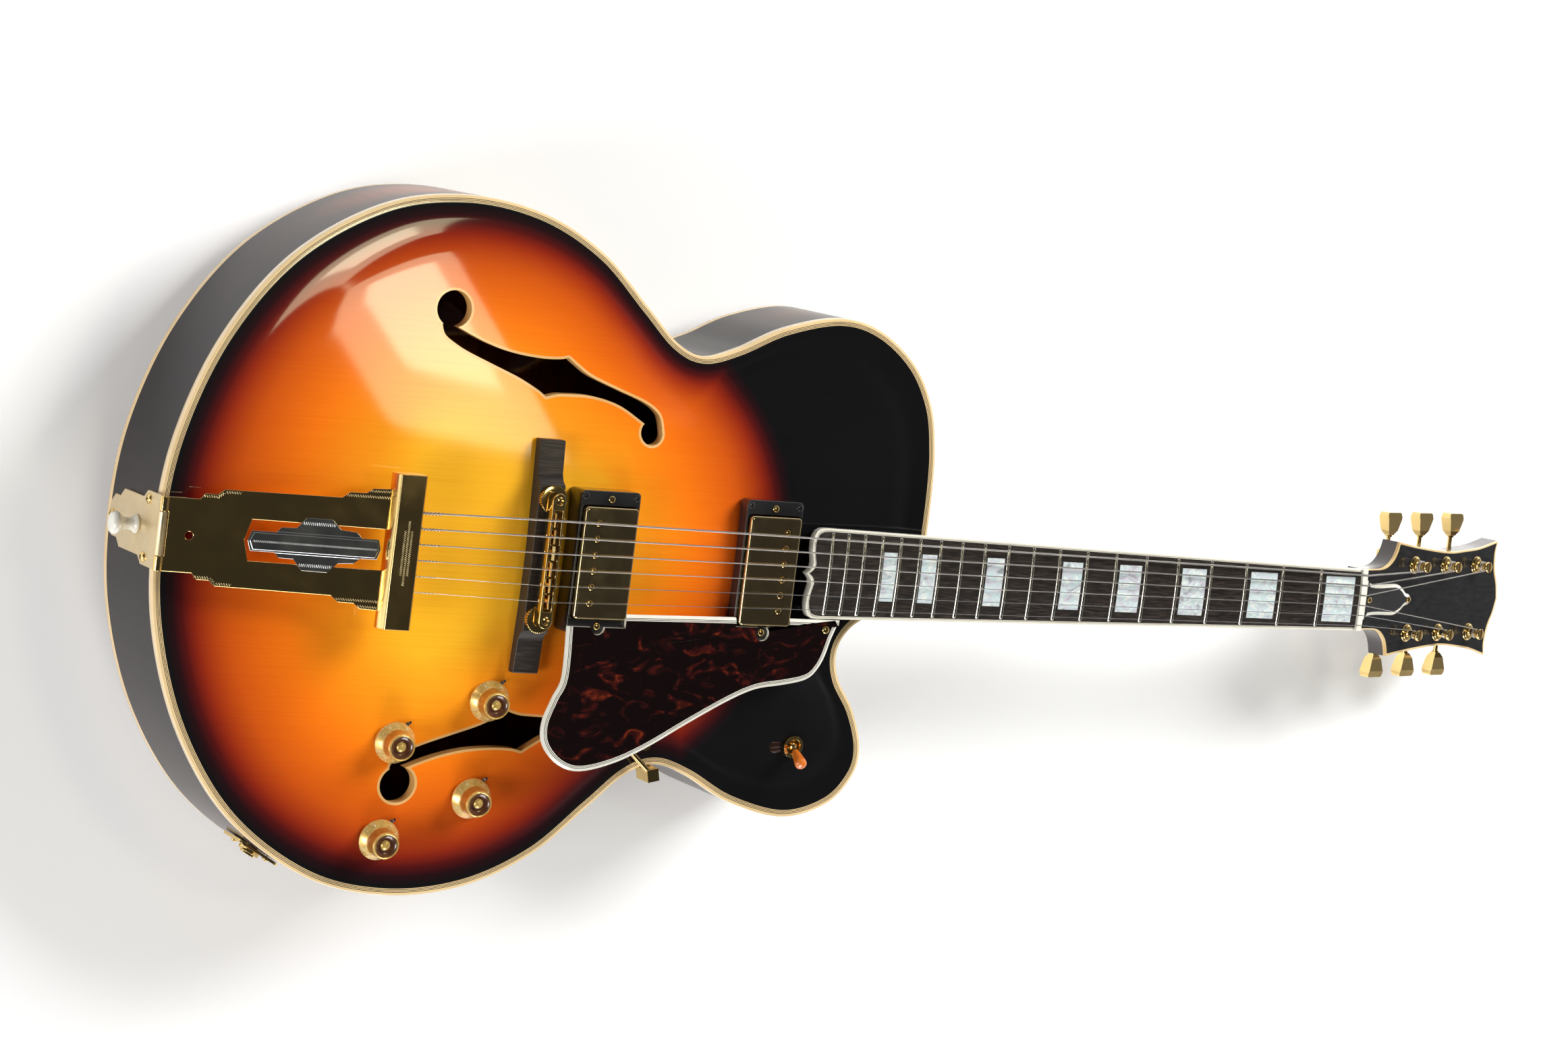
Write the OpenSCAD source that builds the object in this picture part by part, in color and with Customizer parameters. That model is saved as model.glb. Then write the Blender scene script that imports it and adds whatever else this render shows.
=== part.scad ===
// Electric archtop guitar with one rounded cutaway, lying on its back.
// +X points from the tail to the headstock, +Y to the bass side and +Z up out of the face.
// The origin lies on the floor plane, in the middle of the length and the width.

/* [Body] */
// Length of the body from the tail edge to the neck joint
body_len = 530; // [515:1:545]
// Width of the lower bout
lower_bout_w = 434; // [416:1:450]
// Width of the upper bout, measured as if both shoulders were whole
upper_bout_w = 326; // [312:1:340]
// Width of the waist
waist_w = 262; // [250:1:276]
// Depth of the body at its edge, over both plates
body_depth = 86; // [76:1:96]
// Rise of the carved top over its edge
top_arch = 18; // [15:0.5:21]
// Rise of the carved back over its edge
back_arch = 18; // [14:0.5:22]
// Depth of the hollow that runs round inside the edge of each plate
recurve = 0.8; // [0:0.1:1.2]
// Thickness of each plate at its edge
plate_edge = 6.5; // [6:0.25:8]
// Thickness of each plate at its middle
plate_mid = 5.5; // [4.5:0.25:7]
// Thickness of the bent side
side_t = 2.5; // [2:0.25:3.5]
// Width of the edge binding on the plates, with its fine lines
binding_w = 5; // [4:0.25:6]
// Width of the kerfed lining strips inside the side
lining_w = 7; // [6:0.5:9]
// Height of the kerfed lining strips
lining_h = 14; // [10:1:18]
// Width of the binding round the f-holes
f_binding_w = 1.6; // [1:0.1:2.2]

/* [Neck] */
// Scale length, from the nut to the middle of the bridge
scale_len = 647.7; // [640:0.1:650]
// Number of frets
fret_count = 20; // [19:1:20]
// Width of the neck at the nut
nut_w = 43.5; // [41:0.5:46]
// Width of the fingerboard at its last fret
board_end_w = 58.5; // [55:0.5:60]
// Thickness of the fingerboard in its middle
board_t = 6; // [5.5:0.25:7]
// Radius of the fingerboard's face
board_r = 305; // [250:5:400]
// Angle of the neck to the body's edge plane
neck_angle = 3; // [2.5:0.1:3.4]
// Height of the fingerboard's face over the body's edge plane at the joint
board_rise = 20; // [19:0.5:22]
// Depth of the neck under the fingerboard at the nut
neck_t = 15; // [13:0.5:18]
// Width of the fingerboard's binding
board_bind_w = 2.2; // [1.5:0.1:2.6]
// Width of the frets
fret_w = 2.4; // [2:0.1:3]
// Height of the frets
fret_h = 1.1; // [0.8:0.1:1.3]

/* [Headstock] */
// Angle between the headstock and the neck
head_pitch = 15; // [13:0.5:17]
// Length of the headstock behind the nut
head_len = 175; // [168:1:184]
// Width of the headstock over its upper corners
head_w = 85; // [82:1:90]
// Thickness of the headstock with its veneer
head_t = 15; // [14:0.5:17]
// Thickness of the headstock veneer
veneer_t = 2.5; // [2:0.25:3]
// Distance between neighbouring tuner posts
post_pitch = 39.5; // [38:0.5:40]
// Sideways distance of the posts from the middle of the headstock
post_y = 24.6; // [23.5:0.1:26]

/* [Bridge and tailpiece] */
// Height of the strings' middle over the edge plane at the bridge
string_rise = 39.5; // [38.5:0.25:41]
// Distance between the outer strings at the bridge
bridge_spread = 50.5; // [49:0.5:52]
// Distance between the outer strings at the nut
nut_spread = 35.5; // [34:0.5:37]
// Length of the ebony bridge base
base_len = 146; // [138:1:152]
// Width of the ebony bridge base
base_w = 17.3; // [16:0.1:19]
// Distance between the bridge studs
stud_spread = 74.4; // [73.5:0.1:76]
// Diameter of the thumbwheels
wheel_d = 18; // [16:0.5:19]
// Length of the metal bridge
saddle_bar_len = 84; // [82.5:0.5:88]
// Length of the tailpiece's crossbar
crossbar_len = 94.6; // [86:0.2:100]
// Slope of the tailpiece's plate
tail_slope = 7.4; // [6.5:0.1:8]

/* [Pickups and controls] */
// Distance of the rear pickup from the bridge
rear_pickup = 38.7; // [37:0.1:41]
// Distance of the front pickup from the bridge
front_pickup = 159; // [157:0.1:162]
// Length of a pickup cover
cover_len = 70.2; // [69:0.1:71]
// Width of a pickup cover
cover_w = 38.1; // [37:0.1:38.6]
// Length of a pickup ring
ring_len = 89.6; // [88:0.1:92]
// Width of a pickup ring
ring_w = 42; // [41:0.1:45]
// Diameter of the knobs' skirts
knob_d = 26; // [24:0.5:28]
// Height of the knobs
knob_h = 16.5; // [14:0.5:19]
// Lean of the switch lever at rest
lever_lean = 25; // [18:1:28]
// Radius of the output socket's bore
jack_bore_r = 3.2; // [3.15:0.01:3.3]

/* [Hidden] */
$fn = 48;

// Gap left between faces that only rest on each other
seat = 0.05;
// Gap left round pieces that turn
run = 0.1;
// Gap under pieces that stand on the carved top
stand = 0.25;

// Thickness of the nut along the strings
nut_t = 4.5;
// Depth of the headstock's face under the fingerboard's face
head_z = veneer_t - board_t;
// Reach of the strap button from the tail bracket
button_len = 17;
// Thickness of the tail bracket's sheet
bracket_t = 2;

// Fret that lies over the neck joint
joint_fret = 14;
function fret_d(n) = scale_len * (1 - pow(2, -n / 12));
joint_d = fret_d(joint_fret);
last_d = fret_d(fret_count);

// Reach of the object to each side of the nut, which puts the origin in the middle
head_reach = nut_t * cos(neck_angle) + head_z * sin(neck_angle)
  + head_len * cos(neck_angle + head_pitch);
tail_reach = joint_d * cos(neck_angle) + body_len + bracket_t + seat + button_len;
nut_x = (tail_reach - head_reach) / 2;
joint_x = nut_x - joint_d * cos(neck_angle);
bridge_x = nut_x - scale_len * cos(neck_angle);
tail_x = joint_x - body_len;

// Plane of the back plate's edge, plane of the top plate's edge and height of the nut
back_z = back_arch;
top_z = back_arch + body_depth;
nut_z = top_z + board_rise - joint_d * sin(neck_angle);

// Centre that the rings of both plates shrink towards
centre = [tail_x + 0.6255 * body_len, 0];

// Edge of the body from the tail to the waist, as shares of the length and the bout's half width
lower_edge = [
  [0.011, 0.267], [0.053, 0.548], [0.125, 0.788], [0.226, 0.949],
  [0.326, 1], [0.425, 0.972], [0.510, 0.876], [0.577, 0.733]
];
waist_edge = [[0.622, 1.053], [0.660, 1], [0.705, 1.053]];
// Bass shoulder, and treble shoulder with the cutaway's horn and its run under the fingerboard
bass_edge = [
  [0.766, 0.942], [0.840, 1], [0.898, 0.966], [0.951, 0.847],
  [0.983, 0.687], [0.996, 0.515], [1, 0.343], [1, 0.14]
];
treble_edge = [
  [0.766, 0.945], [0.843, 1], [0.904, 0.942], [0.936, 0.825], [0.941, 0.706], [0.9245, 0.561],
  [0.899, 0.439], [0.8917, 0.337], [0.902, 0.2515], [0.9245, 0.193], [0.962, 0.16], [0.99, 0.1]
];
function edge_points(shares, half, side) =
  [for (p = shares) [tail_x + p[0] * body_len, side * p[1] * half]];
function reversed(list) = [for (i = [len(list) - 1:-1:0]) list[i]];
body_points = concat(
  [[tail_x, 0]],
  edge_points(lower_edge, lower_bout_w / 2, -1),
  edge_points(waist_edge, waist_w / 2, -1),
  edge_points(treble_edge, upper_bout_w / 2, -1),
  [[joint_x, 0]],
  reversed(edge_points(bass_edge, upper_bout_w / 2, 1)),
  reversed(edge_points(waist_edge, waist_w / 2, 1)),
  reversed(edge_points(lower_edge, lower_bout_w / 2, 1))
);

// Smooth closed curve through a list of points, with the given steps from point to point
function spline_point(a, b, c, d, t) =
  0.5 * (2 * b + (c - a) * t + (2 * a - 5 * b + 4 * c - d) * t * t
  + (3 * b - a - 3 * c + d) * t * t * t);
function closed_spline(p, steps) = [
  for (i = [0:len(p) - 1], k = [0:steps - 1])
    spline_point(p[(i + len(p) - 1) % len(p)], p[i], p[(i + 1) % len(p)], p[(i + 2) % len(p)],
      k / steps)
];
// Smooth open curve through a list of points, ends included
function open_spline(p, steps) = concat(
  [for (i = [0:len(p) - 2], k = [0:steps - 1])
    spline_point(p[max(i - 1, 0)], p[i], p[i + 1], p[min(i + 2, len(p) - 1)], k / steps)],
  [p[len(p) - 1]]
);
// Closed curve moved inwards by a distance, for points that run anticlockwise
function unit(v) = v / norm(v);
function inset(p, gap) = [
  for (i = [0:len(p) - 1])
    let (along = unit(p[(i + 1) % len(p)] - p[(i + len(p) - 1) % len(p)]))
      p[i] + gap * [-along[1], along[0]]
];

body_edge = closed_spline(body_points, 3);
plate_outline = inset(body_edge, binding_w);
side_inner = inset(body_edge, side_t);
lining_inner = inset(body_edge, side_t + lining_w);

// Height of a carved plate over its edge, for a share s of the way from the centre to the edge
function rise(s) = 0.5 - 0.5 * cos(180 * pow(max(0, 1 - s), 0.8));
function hollow(s) = s > 0.88 && s < 1 ? recurve * sin(180 * (1 - s) / 0.12) : 0;
flat_share = 0.93;
function outer_h(arch, s) = arch * rise(s) - hollow(s);
function inner_h(arch, s) = (arch + plate_edge - plate_mid) * rise(s / flat_share) - plate_edge;

// Rings near the edge keep the outline's shape, and rings near the centre turn into ovals
core_back = 315;
core_front = 195;
core_half = 175;
function core_scale(v) =
  1 / norm([v[0] / (v[0] < 0 ? core_back : core_front), v[1] / core_half]);
function edge_like(s) = let (t = min(1, max(0, (s - 0.25) / 0.6))) t * t * (3 - 2 * t);
function ring_point(p, s) =
  let (v = p - centre, w = edge_like(s)) centre + v * s * (w + (1 - w) * core_scale(v));

// The heights at a place on the top, measured from the bridge
edge_table = [
  for (p = plate_outline) [atan2(p[1] - centre[1], p[0] - centre[0]), norm(p - centre)]
];
function find_share(size, edge, core, s, steps) =
  steps == 0 ? s
  : find_share(size, edge, core, size / (edge_like(s) * (edge - core) + core), steps - 1);
function share_at(x, y) =
  let (
    v = [bridge_x + x, y] - centre, size = max(norm(v), 0.01),
    edge = lookup(atan2(v[1], v[0]), edge_table)
  ) find_share(size, edge, size * core_scale(norm(v) > 0.01 ? v : [0.01, 0]), size / edge, 10);
function top_h(x, y) = outer_h(top_arch, share_at(x, y));
function under_h(x, y) = inner_h(top_arch, share_at(x, y));

// Heights over the edge plane of the strings and of the plane that the pickguard lies in
nut_action = 1.9;
string_slope = atan((top_z + string_rise - nut_z - nut_action) / (nut_x - bridge_x));
function string_h(x) = string_rise - x * tan(string_slope);
function camber(y) = y * y / (2 * board_r);
guard_drop = 3.5;
guard_t = 2.5;

module at_bridge() translate([bridge_x, 0, top_z]) children();
module on_neck() translate([nut_x, 0, nut_z]) rotate([0, neck_angle, 0]) children();
module on_head() on_neck() translate([nut_t, 0, head_z]) rotate([0, head_pitch, 0]) children();
module on_string_plane() at_bridge() translate([0, 0, string_rise])
  rotate([0, string_slope, 0]) children();
function neck_point(p) = [
  nut_x + p[0] * cos(neck_angle) + p[2] * sin(neck_angle), p[1],
  nut_z - p[0] * sin(neck_angle) + p[2] * cos(neck_angle)
];
function head_point(p) = neck_point([
  nut_t + p[0] * cos(head_pitch) + p[2] * sin(head_pitch), p[1],
  head_z - p[0] * sin(head_pitch) + p[2] * cos(head_pitch)
]);

// Rectangle with round corners, centred
module round_rect(x, y, r) {
  square([x - 2 * r, y], center = true);
  square([x, y - 2 * r], center = true);
  for (sx = [-1, 1], sy = [-1, 1])
    translate([sx * (x / 2 - r), sy * (y / 2 - r)]) circle(r);
}
// Flat ring between a closed curve and the same curve moved inwards
module band(outer, inner, h) linear_extrude(h) difference() {
  polygon(outer);
  polygon(inner);
}

// Carved plate: rings of points shrink to the centre on the outer face and grow back inside
outer_shares = [1, 0.965, 0.92, 0.85, 0.74, 0.6, 0.42, 0.22];
inner_shares = [0.3, 0.6, 0.8, 0.93, 1];
module carved_plate(outline, arch) {
  n = len(outline);
  shares = concat(outer_shares, inner_shares);
  turn = len(outer_shares);
  heights = [
    for (i = [0:len(shares) - 1])
      i < turn ? outer_h(arch, shares[i]) : inner_h(arch, shares[i])
  ];
  rings = [
    for (i = [0:len(shares) - 1], p = outline)
      let (q = ring_point(p, shares[i])) [q[0], q[1], heights[i]]
  ];
  outer_tip = n * len(shares);
  points = concat(rings, [
    [centre[0], centre[1], outer_h(arch, 0)],
    [centre[0], centre[1], inner_h(arch, 0)]
  ]);
  faces = concat(
    [for (i = [0:turn - 2], k = [0:n - 1]) each quad(i * n, (i + 1) * n, k, n)],
    [for (k = [0:n - 1]) [(turn - 1) * n + k, outer_tip, (turn - 1) * n + (k + 1) % n]],
    [for (k = [0:n - 1]) [turn * n + k, turn * n + (k + 1) % n, outer_tip + 1]],
    [for (i = [turn:len(shares) - 2], k = [0:n - 1]) each quad(i * n, (i + 1) * n, k, n)],
    [for (k = [0:n - 1]) each quad((len(shares) - 1) * n, 0, k, n)]
  );
  polyhedron(points, faces);
}
// Two triangles between points k and k + 1 of one ring and those of the next
function quad(a, b, k, n) =
  let (m = (k + 1) % n) [[a + k, b + k, b + m], [a + k, b + m, a + m]];

module top_blank() translate([0, 0, top_z]) carved_plate(plate_outline, top_arch);
// Space under a piece that stands on the top: the top's height across, and its slope along X
module top_space(x, y, half_x, half_y) {
  slope = (top_h(x + half_x, y) - top_h(x - half_x, y)) / (2 * half_x);
  ys = [for (k = [-6:6]) y + half_y * k / 6];
  at_bridge() translate([x, 0, 0]) rotate([0, -atan(slope), 0]) rotate([90, 0, 90])
    translate([0, 0, -2 * half_x]) linear_extrude(4 * half_x) polygon(concat(
      [[y + half_y, -30], [y - half_y, -30]],
      [for (v = ys) [v, stand + max([for (u = [-1, 0, 1]) top_h(x + u * half_x, v) - slope * u * half_x])]]
    ));
}

// Outline of the bass f-hole, measured from the bridge
f_upper = [[-66.5, 136.2], [-48.5, 128.8], [-30.4, 123.9], [-11.6, 121.8], [2, 122], [9, 123.4]];
f_right = [[9, 123.4], [16, 118.5], [26.1, 112.6], [46, 105.6], [65.5, 99], [75.5, 92.5], [78.2, 84]];
f_left = [[-77.2, 137.6], [-74.5, 131], [-65.9, 125.4], [-56.5, 121.1], [-38.6, 114.4],
  [-23.2, 108.6], [-10, 102.1], [-4.6, 98.4]];
f_lower = [[-4.6, 98.4], [2.5, 100.4], [8.8, 101], [27, 101], [46.6, 96.5], [64.8, 86.6]];
f_eye_big = [-70.2, 147.1];
f_eye_small = [70.7, 81];
f_big_r = 11.4;
f_small_r = 7.8;
module f_shape(grow) offset(delta = grow) {
  translate(f_eye_big) circle(f_big_r, $fn = 32);
  translate(f_eye_small) circle(f_small_r, $fn = 28);
  polygon(concat(
    open_spline(f_upper, 2), open_spline(f_right, 2),
    reversed(open_spline(f_lower, 2)), reversed(open_spline(f_left, 2))
  ));
}
module both_f_holes(grow, z0, z1) at_bridge() for (side = [0, 1])
  mirror([0, side, 0]) translate([0, 0, z0]) linear_extrude(z1 - z0) f_shape(grow);

// Places of the controls, measured from the bridge
knob_shares = [[-76.5, 0.5553], [-77.5, 0.8364], [-18.5, 0.424], [-20.5, 0.7097]];
knob_places = [for (p = knob_shares) [p[0], -p[1] * lower_bout_w / 2]];
switch_place = [203.5, -115.5];
control_hole_r = 4.8;
pickup_places = [rear_pickup, front_pickup];
pole_sides = [-1, 1];

// The top is two matched halves with a seam along the middle
module top_plate() color("goldenrod") difference() {
  top_blank();
  both_f_holes(f_binding_w, -plate_edge - 1, top_arch + 1);
  at_bridge() {
    for (x = pickup_places)
      translate([x, 0, -plate_edge]) linear_extrude(top_arch + 2 * plate_edge) {
        square([pickup_hole_w, pickup_hole_len], center = true);
        square([ear_w + 2, 2 * height_screw_y + 8], center = true);
      }
  }
  for (p = concat(knob_places, [switch_place]))
    at_control(p) translate([0, 0, -wood_t(p) - 3]) cylinder(r = control_hole_r, h = wood_t(p) + 6);
  translate([tail_x, -seat / 2, top_z - plate_edge - 1])
    cube([body_len + 1, seat, top_arch + plate_edge + 2]);
}
module back_plate() color("saddlebrown")
  translate([0, 0, back_z]) mirror([0, 0, 1]) carved_plate(plate_outline, back_arch);

// The side is strips that meet at the tail, at the neck and behind the output socket's plate
socket_panel = 28;
module rim() color("black") difference() {
  translate([0, 0, back_z + plate_edge])
    band(body_edge, side_inner, body_depth - 2 * plate_edge);
  at_jack() translate([0, 0, -10]) cylinder(r = jack_barrel_r + 1, h = 20);
  for (p = bracket_screws)
    translate([tail_x - 1, p[0], top_z + p[1]]) rotate([0, 90, 0]) cylinder(r = 1.8, h = 8);
  translate([tail_x - 1, 0, top_z + button_z]) rotate([0, 90, 0]) cylinder(r = 2.2, h = 8);
  for (x = [tail_x, joint_x])
    translate([x - 2 * side_t, -seat / 2, back_z]) cube([4 * side_t, seat, body_depth]);
  at_jack() for (side = [-1, 1])
    translate([-body_depth, side * socket_panel / 2, -3 * side_t]) cube([2 * body_depth, seat, 5 * side_t]);
}
module top_binding() color("cornsilk")
  translate([0, 0, top_z - plate_edge]) band(body_edge, plate_outline, plate_edge);
module back_binding() color("cornsilk")
  translate([0, 0, back_z]) band(body_edge, plate_outline, plate_edge);

// Wooden blocks at the tail and the neck, and the lining strips between them
tail_block_l = 22;
tail_block_w = 80;
neck_block_l = 62;
neck_block_w = 76;
inner_h0 = back_z + plate_edge;
inner_depth = body_depth - 2 * plate_edge;
module block_area() {
  translate([tail_x, -tail_block_w / 2]) square([tail_block_l, tail_block_w]);
  translate([joint_x - neck_block_l, -neck_block_w / 2]) square([neck_block_l + 1, neck_block_w]);
}
module blocks_and_linings() color("burlywood") difference() {
  union() {
    translate([0, 0, inner_h0 + seat]) linear_extrude(inner_depth - 2 * seat) intersection() {
      polygon(inset(body_edge, side_t + seat));
      block_area();
    }
    for (z = [inner_h0 + seat, inner_h0 + inner_depth - lining_h - seat])
      translate([0, 0, z]) linear_extrude(lining_h) difference() {
        polygon(inset(body_edge, side_t + seat));
        polygon(lining_inner);
        block_area();
      }
  }
  translate([tail_x, 0, top_z + button_z]) rotate([0, 90, 0]) cylinder(r = 2, h = button_screw_l + 1);
}

// Two long bars under the top, one each side of the pickups
bar_y = 52;
bar_w = 8;
bar_ends = [-165, 172];
bar_steps = 12;
bar_drop = 10;
bar_xs = [for (k = [0:bar_steps]) bar_ends[0] + (bar_ends[1] - bar_ends[0]) * k / bar_steps];
function bar_crown(x, side) = min(
  under_h(x, side * (bar_y - bar_w / 2)), under_h(x, side * (bar_y + bar_w / 2))
) - 0.5;
module tone_bars() color("burlywood") at_bridge() for (side = [-1, 1])
  translate([0, side * bar_y + bar_w / 2, 0]) rotate([90, 0, 0]) linear_extrude(bar_w)
    polygon(concat(
      [for (x = bar_xs) [x, bar_crown(x, side)]],
      [for (k = [bar_steps:-1:0])
        [bar_xs[k], bar_crown(bar_xs[k], side) - 2 - bar_drop * sin(180 * k / bar_steps)]]
    ));

module f_hole_binding() color("cornsilk") intersection() {
  translate([0, 0, top_z])
    carved_plate([for (i = [0:2:len(plate_outline) - 1]) plate_outline[i]], top_arch);
  difference() {
    both_f_holes(f_binding_w, -plate_edge - 1, top_arch + 1);
    both_f_holes(0, -plate_edge - 2, top_arch + 2);
  }
}

// Outline of the fingerboard, seen in the neck's own frame, with its bracket-shaped end
board_over = 14;
board_end = -(last_d + board_over);
function board_half(x) = (nut_w + (board_end_w - nut_w) * -x / last_d) / 2;
end_curve = [[9.5, 1], [5, 0.985], [2, 0.93], [0.3, 0.83], [-0.6, 0.68], [-0.4, 0.5],
  [0.6, 0.34], [1.2, 0.24], [0.7, 0.14], [-1, 0.06]];
end_tip = -3.2;
end_half = board_half(board_end);
function board_curve(gap) = concat(
  [[board_end + end_tip + gap, 0]],
  [for (p = reversed(end_curve)) [board_end + p[0] + gap, -p[1] * (end_half - gap)]],
  [[20, gap - board_half(20)], [20, board_half(20) - gap]],
  [for (p = end_curve) [board_end + p[0] + gap, p[1] * (end_half - gap)]]
);
board_outline = board_curve(0);
board_core = board_curve(board_bind_w);
module board_blank() translate([-last_d - 60, 0, -board_r]) rotate([0, 90, 0])
  cylinder(r = board_r, h = last_d + 120, $fn = 360);
module board_slab(outline, z0, z1, x1) intersection() {
  translate([0, 0, z0]) linear_extrude(z1 - z0) difference() {
    polygon(outline);
    translate([x1, -50]) square(100);
  }
  board_blank();
}
// Frets with a block inlay before them, and each block's length as a share of its space
inlay_frets = [1, 3, 5, 7, 9, 12, 15, 17];
inlay_half = 16;
inlay_t = 1.5;
inlay_w = 0.72;
module inlay_blocks(gap) for (n = inlay_frets) {
  mid = (fret_d(n) + fret_d(n - 1)) / 2;
  half = (fret_d(n) - fret_d(n - 1)) * inlay_w / 2;
  span = min(inlay_half, board_half(-mid) - board_bind_w - 3.5);
  translate([-mid - half - gap, -span - gap, -inlay_t - 1.3 - gap])
    cube([2 * (half + gap), 2 * (span + gap), inlay_t + 3]);
}
fret_slot_w = 0.6;
fret_tang = 1.8;
module fretboard() color("black") on_neck() difference() {
  board_slab(board_core, -board_t, 1, 0);
  inlay_blocks(0.02);
  for (n = [1:fret_count])
    translate([-fret_d(n) - fret_slot_w / 2 - 0.02, -50, -fret_tang - 1.5])
      cube([fret_slot_w + 0.04, 100, 10]);
}
module inlays() color("azure") on_neck() intersection() {
  inlay_blocks(0);
  board_slab(board_core, -board_t, 1, 0);
}
// Each fret is an arched crown with a thin tang under it, clear of the binding at both ends
module frets() color("khaki") on_neck() for (n = [1:fret_count]) {
  half = board_half(-fret_d(n)) - board_bind_w - 0.3;
  translate([-fret_d(n), 0, 0]) intersection() {
    translate([0, 0, -board_r]) rotate([90, 0, 90]) union() {
      translate([0, 0, -fret_w / 2]) difference() {
        cylinder(r = board_r + fret_h * 0.5, h = fret_w, $fn = 360);
        translate([0, 0, -1]) cylinder(r = board_r + 0.01, h = fret_w + 2, $fn = 360);
      }
      translate([0, 0, -fret_w / 3]) difference() {
        cylinder(r = board_r + fret_h, h = fret_w * 2 / 3, $fn = 360);
        translate([0, 0, -1]) cylinder(r = board_r + 0.01, h = fret_w + 2, $fn = 360);
      }
      translate([0, 0, -fret_slot_w / 2]) difference() {
        cylinder(r = board_r + fret_h * 0.5, h = fret_slot_w, $fn = 360);
        translate([0, 0, -1]) cylinder(r = board_r - fret_tang, h = fret_slot_w + 2, $fn = 360);
      }
    }
    translate([-fret_w, -half, -10]) cube([2 * fret_w, 2 * half, 20]);
  }
}

// Neck as a loft of cross-sections: [place along the neck, top, depth, squareness, taper, width]
cap_t = 3;
heel_cut = (board_rise + body_depth) / cos(neck_angle) - board_t - cap_t;
heel_depth = heel_cut + cap_t + 2;
block_len = 46;
neck_stations = [
  [14, -5, 9, 0.95, 0, 42], [9, -2.5, 12.5, 0.95, 0, 43], [nut_t, 0, neck_t, 0.95, 0, nut_w],
  [-10, 0, neck_t, 0.95, 0, 0], [-0.45 * joint_d, 0, neck_t + 1.5, 0.95, 0, 0],
  [-0.8 * joint_d, 0, neck_t + 3, 0.95, 0, 0], [-joint_d + 52, 0, neck_t + 4.5, 0.9, 0.02, 0],
  [-joint_d + 41, 0, neck_t + 9, 0.85, 0.08, 0], [-joint_d + 33, 0, neck_t + 20, 0.78, 0.18, 0],
  [-joint_d + 27, 0, neck_t + 40, 0.7, 0.3, 0], [-joint_d + 21, 0, heel_depth - 22, 0.62, 0.36, 0],
  [-joint_d + 17, 0, heel_depth - 6, 0.58, 0.4, 0], [-joint_d + 14, 0, heel_depth, 0.55, 0.42, 0],
  [-joint_d - block_len, 0, heel_depth, 0.55, 0.42, 0]
];
arc_steps = 14;
function neck_half(s) = s[5] > 0 ? s[5] / 2 : board_half(s[0]) - 0.4;
function soft(v, e) = sign(v) * pow(abs(v), e);
function neck_section(s) = [
  for (k = [0:arc_steps])
    let (a = 180 * k / arc_steps, down = soft(sin(a), s[3]))
      [s[0], neck_half(s) * soft(cos(a), s[3]) * (1 - s[4] * down), -board_t + s[1] - s[2] * down]
];
module loft(sections) {
  n = len(sections[0]);
  last = len(sections) - 1;
  polyhedron(
    [for (s = sections) each s],
    concat(
      [[for (k = [n - 1:-1:0]) k]],
      [for (i = [0:last - 1], k = [0:n - 1]) each quad((i + 1) * n, i * n, k, n)],
      [[for (k = [0:n - 1]) last * n + k]]
    )
  );
}
module neck_loft() on_neck() loft([for (s = reversed(neck_stations)) neck_section(s)]);
module body_space() translate([0, 0, back_z - 1]) linear_extrude(body_depth + 1 + seat)
  polygon(inset(body_edge, -seat));

// Headstock outline in its own frame, as shares of its length and half width
ear_shares = [[0, 0.505], [0.06, 0.508], [0.12, 0.515], [0.165, 0.57], [0.2, 0.69], [0.219, 0.83],
  [0.229, 0.965]];
side_shares = [[0.229, 0.965], [0.30, 0.925], [0.38, 0.885], [0.54, 0.82], [0.63, 0.808],
  [0.735, 0.84], [0.835, 0.885], [0.955, 1]];
end_shares = [[0.955, 1], [0.946, 0.8], [0.957, 0.5], [0.985, 0.25], [1, 0]];
// Half of the outline with its edge moved inwards by a gap, from the nut round to the tip
function head_section(shares, gap, first, last) = open_spline([
  for (k = [0:len(shares) - 1])
    let (shift = first + (last - first) * k / (len(shares) - 1))
      [shares[k][0] * head_len + gap * shift, shares[k][1] * (head_w / 2 - gap)]
], 3);
function head_half(gap) = concat(
  head_section(ear_shares, gap, 0.8, 0.8), head_section(side_shares, gap, 0.8, -1),
  head_section(end_shares, gap, -1, -1)
);
function no_twins(p) = [for (i = [0:len(p) - 1]) if (norm(p[i] - p[(i + 1) % len(p)]) > 0.3) p[i]];
function head_curve(gap) = let (half = head_half(gap)) no_twins(concat(
  [[-4, -half[0][1]]], [for (p = half) [p[0], -p[1]]],
  [for (p = reversed(half)) if (p[1] > 0) p], [[-4, half[0][1]]]
));
head_outline = head_curve(0);
head_bind_w = 1.8;
veneer_start = veneer_t * tan(head_pitch) + seat;
head_core = head_curve(head_bind_w);
module head_slab(outline, z0, z1, x0 = 0) translate([0, 0, z0]) linear_extrude(z1 - z0)
  difference() {
    polygon(outline);
    translate([x0 - 50, -50]) square([50, 100]);
  }

// Tuners: place of each post, and the side that it stands on
first_post = 62.3;
bush_r = 4.95;
post_r = 3;
function post_x(i) = first_post + post_pitch * (i < 3 ? i : 5 - i);
function post_side(i) = i < 3 ? 1 : -1;
module at_post(i) on_head() translate([post_x(i), post_side(i) * post_y, 0]) children();
rod_pocket = [4, 38];
heel_reach = block_len + 14;
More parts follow.
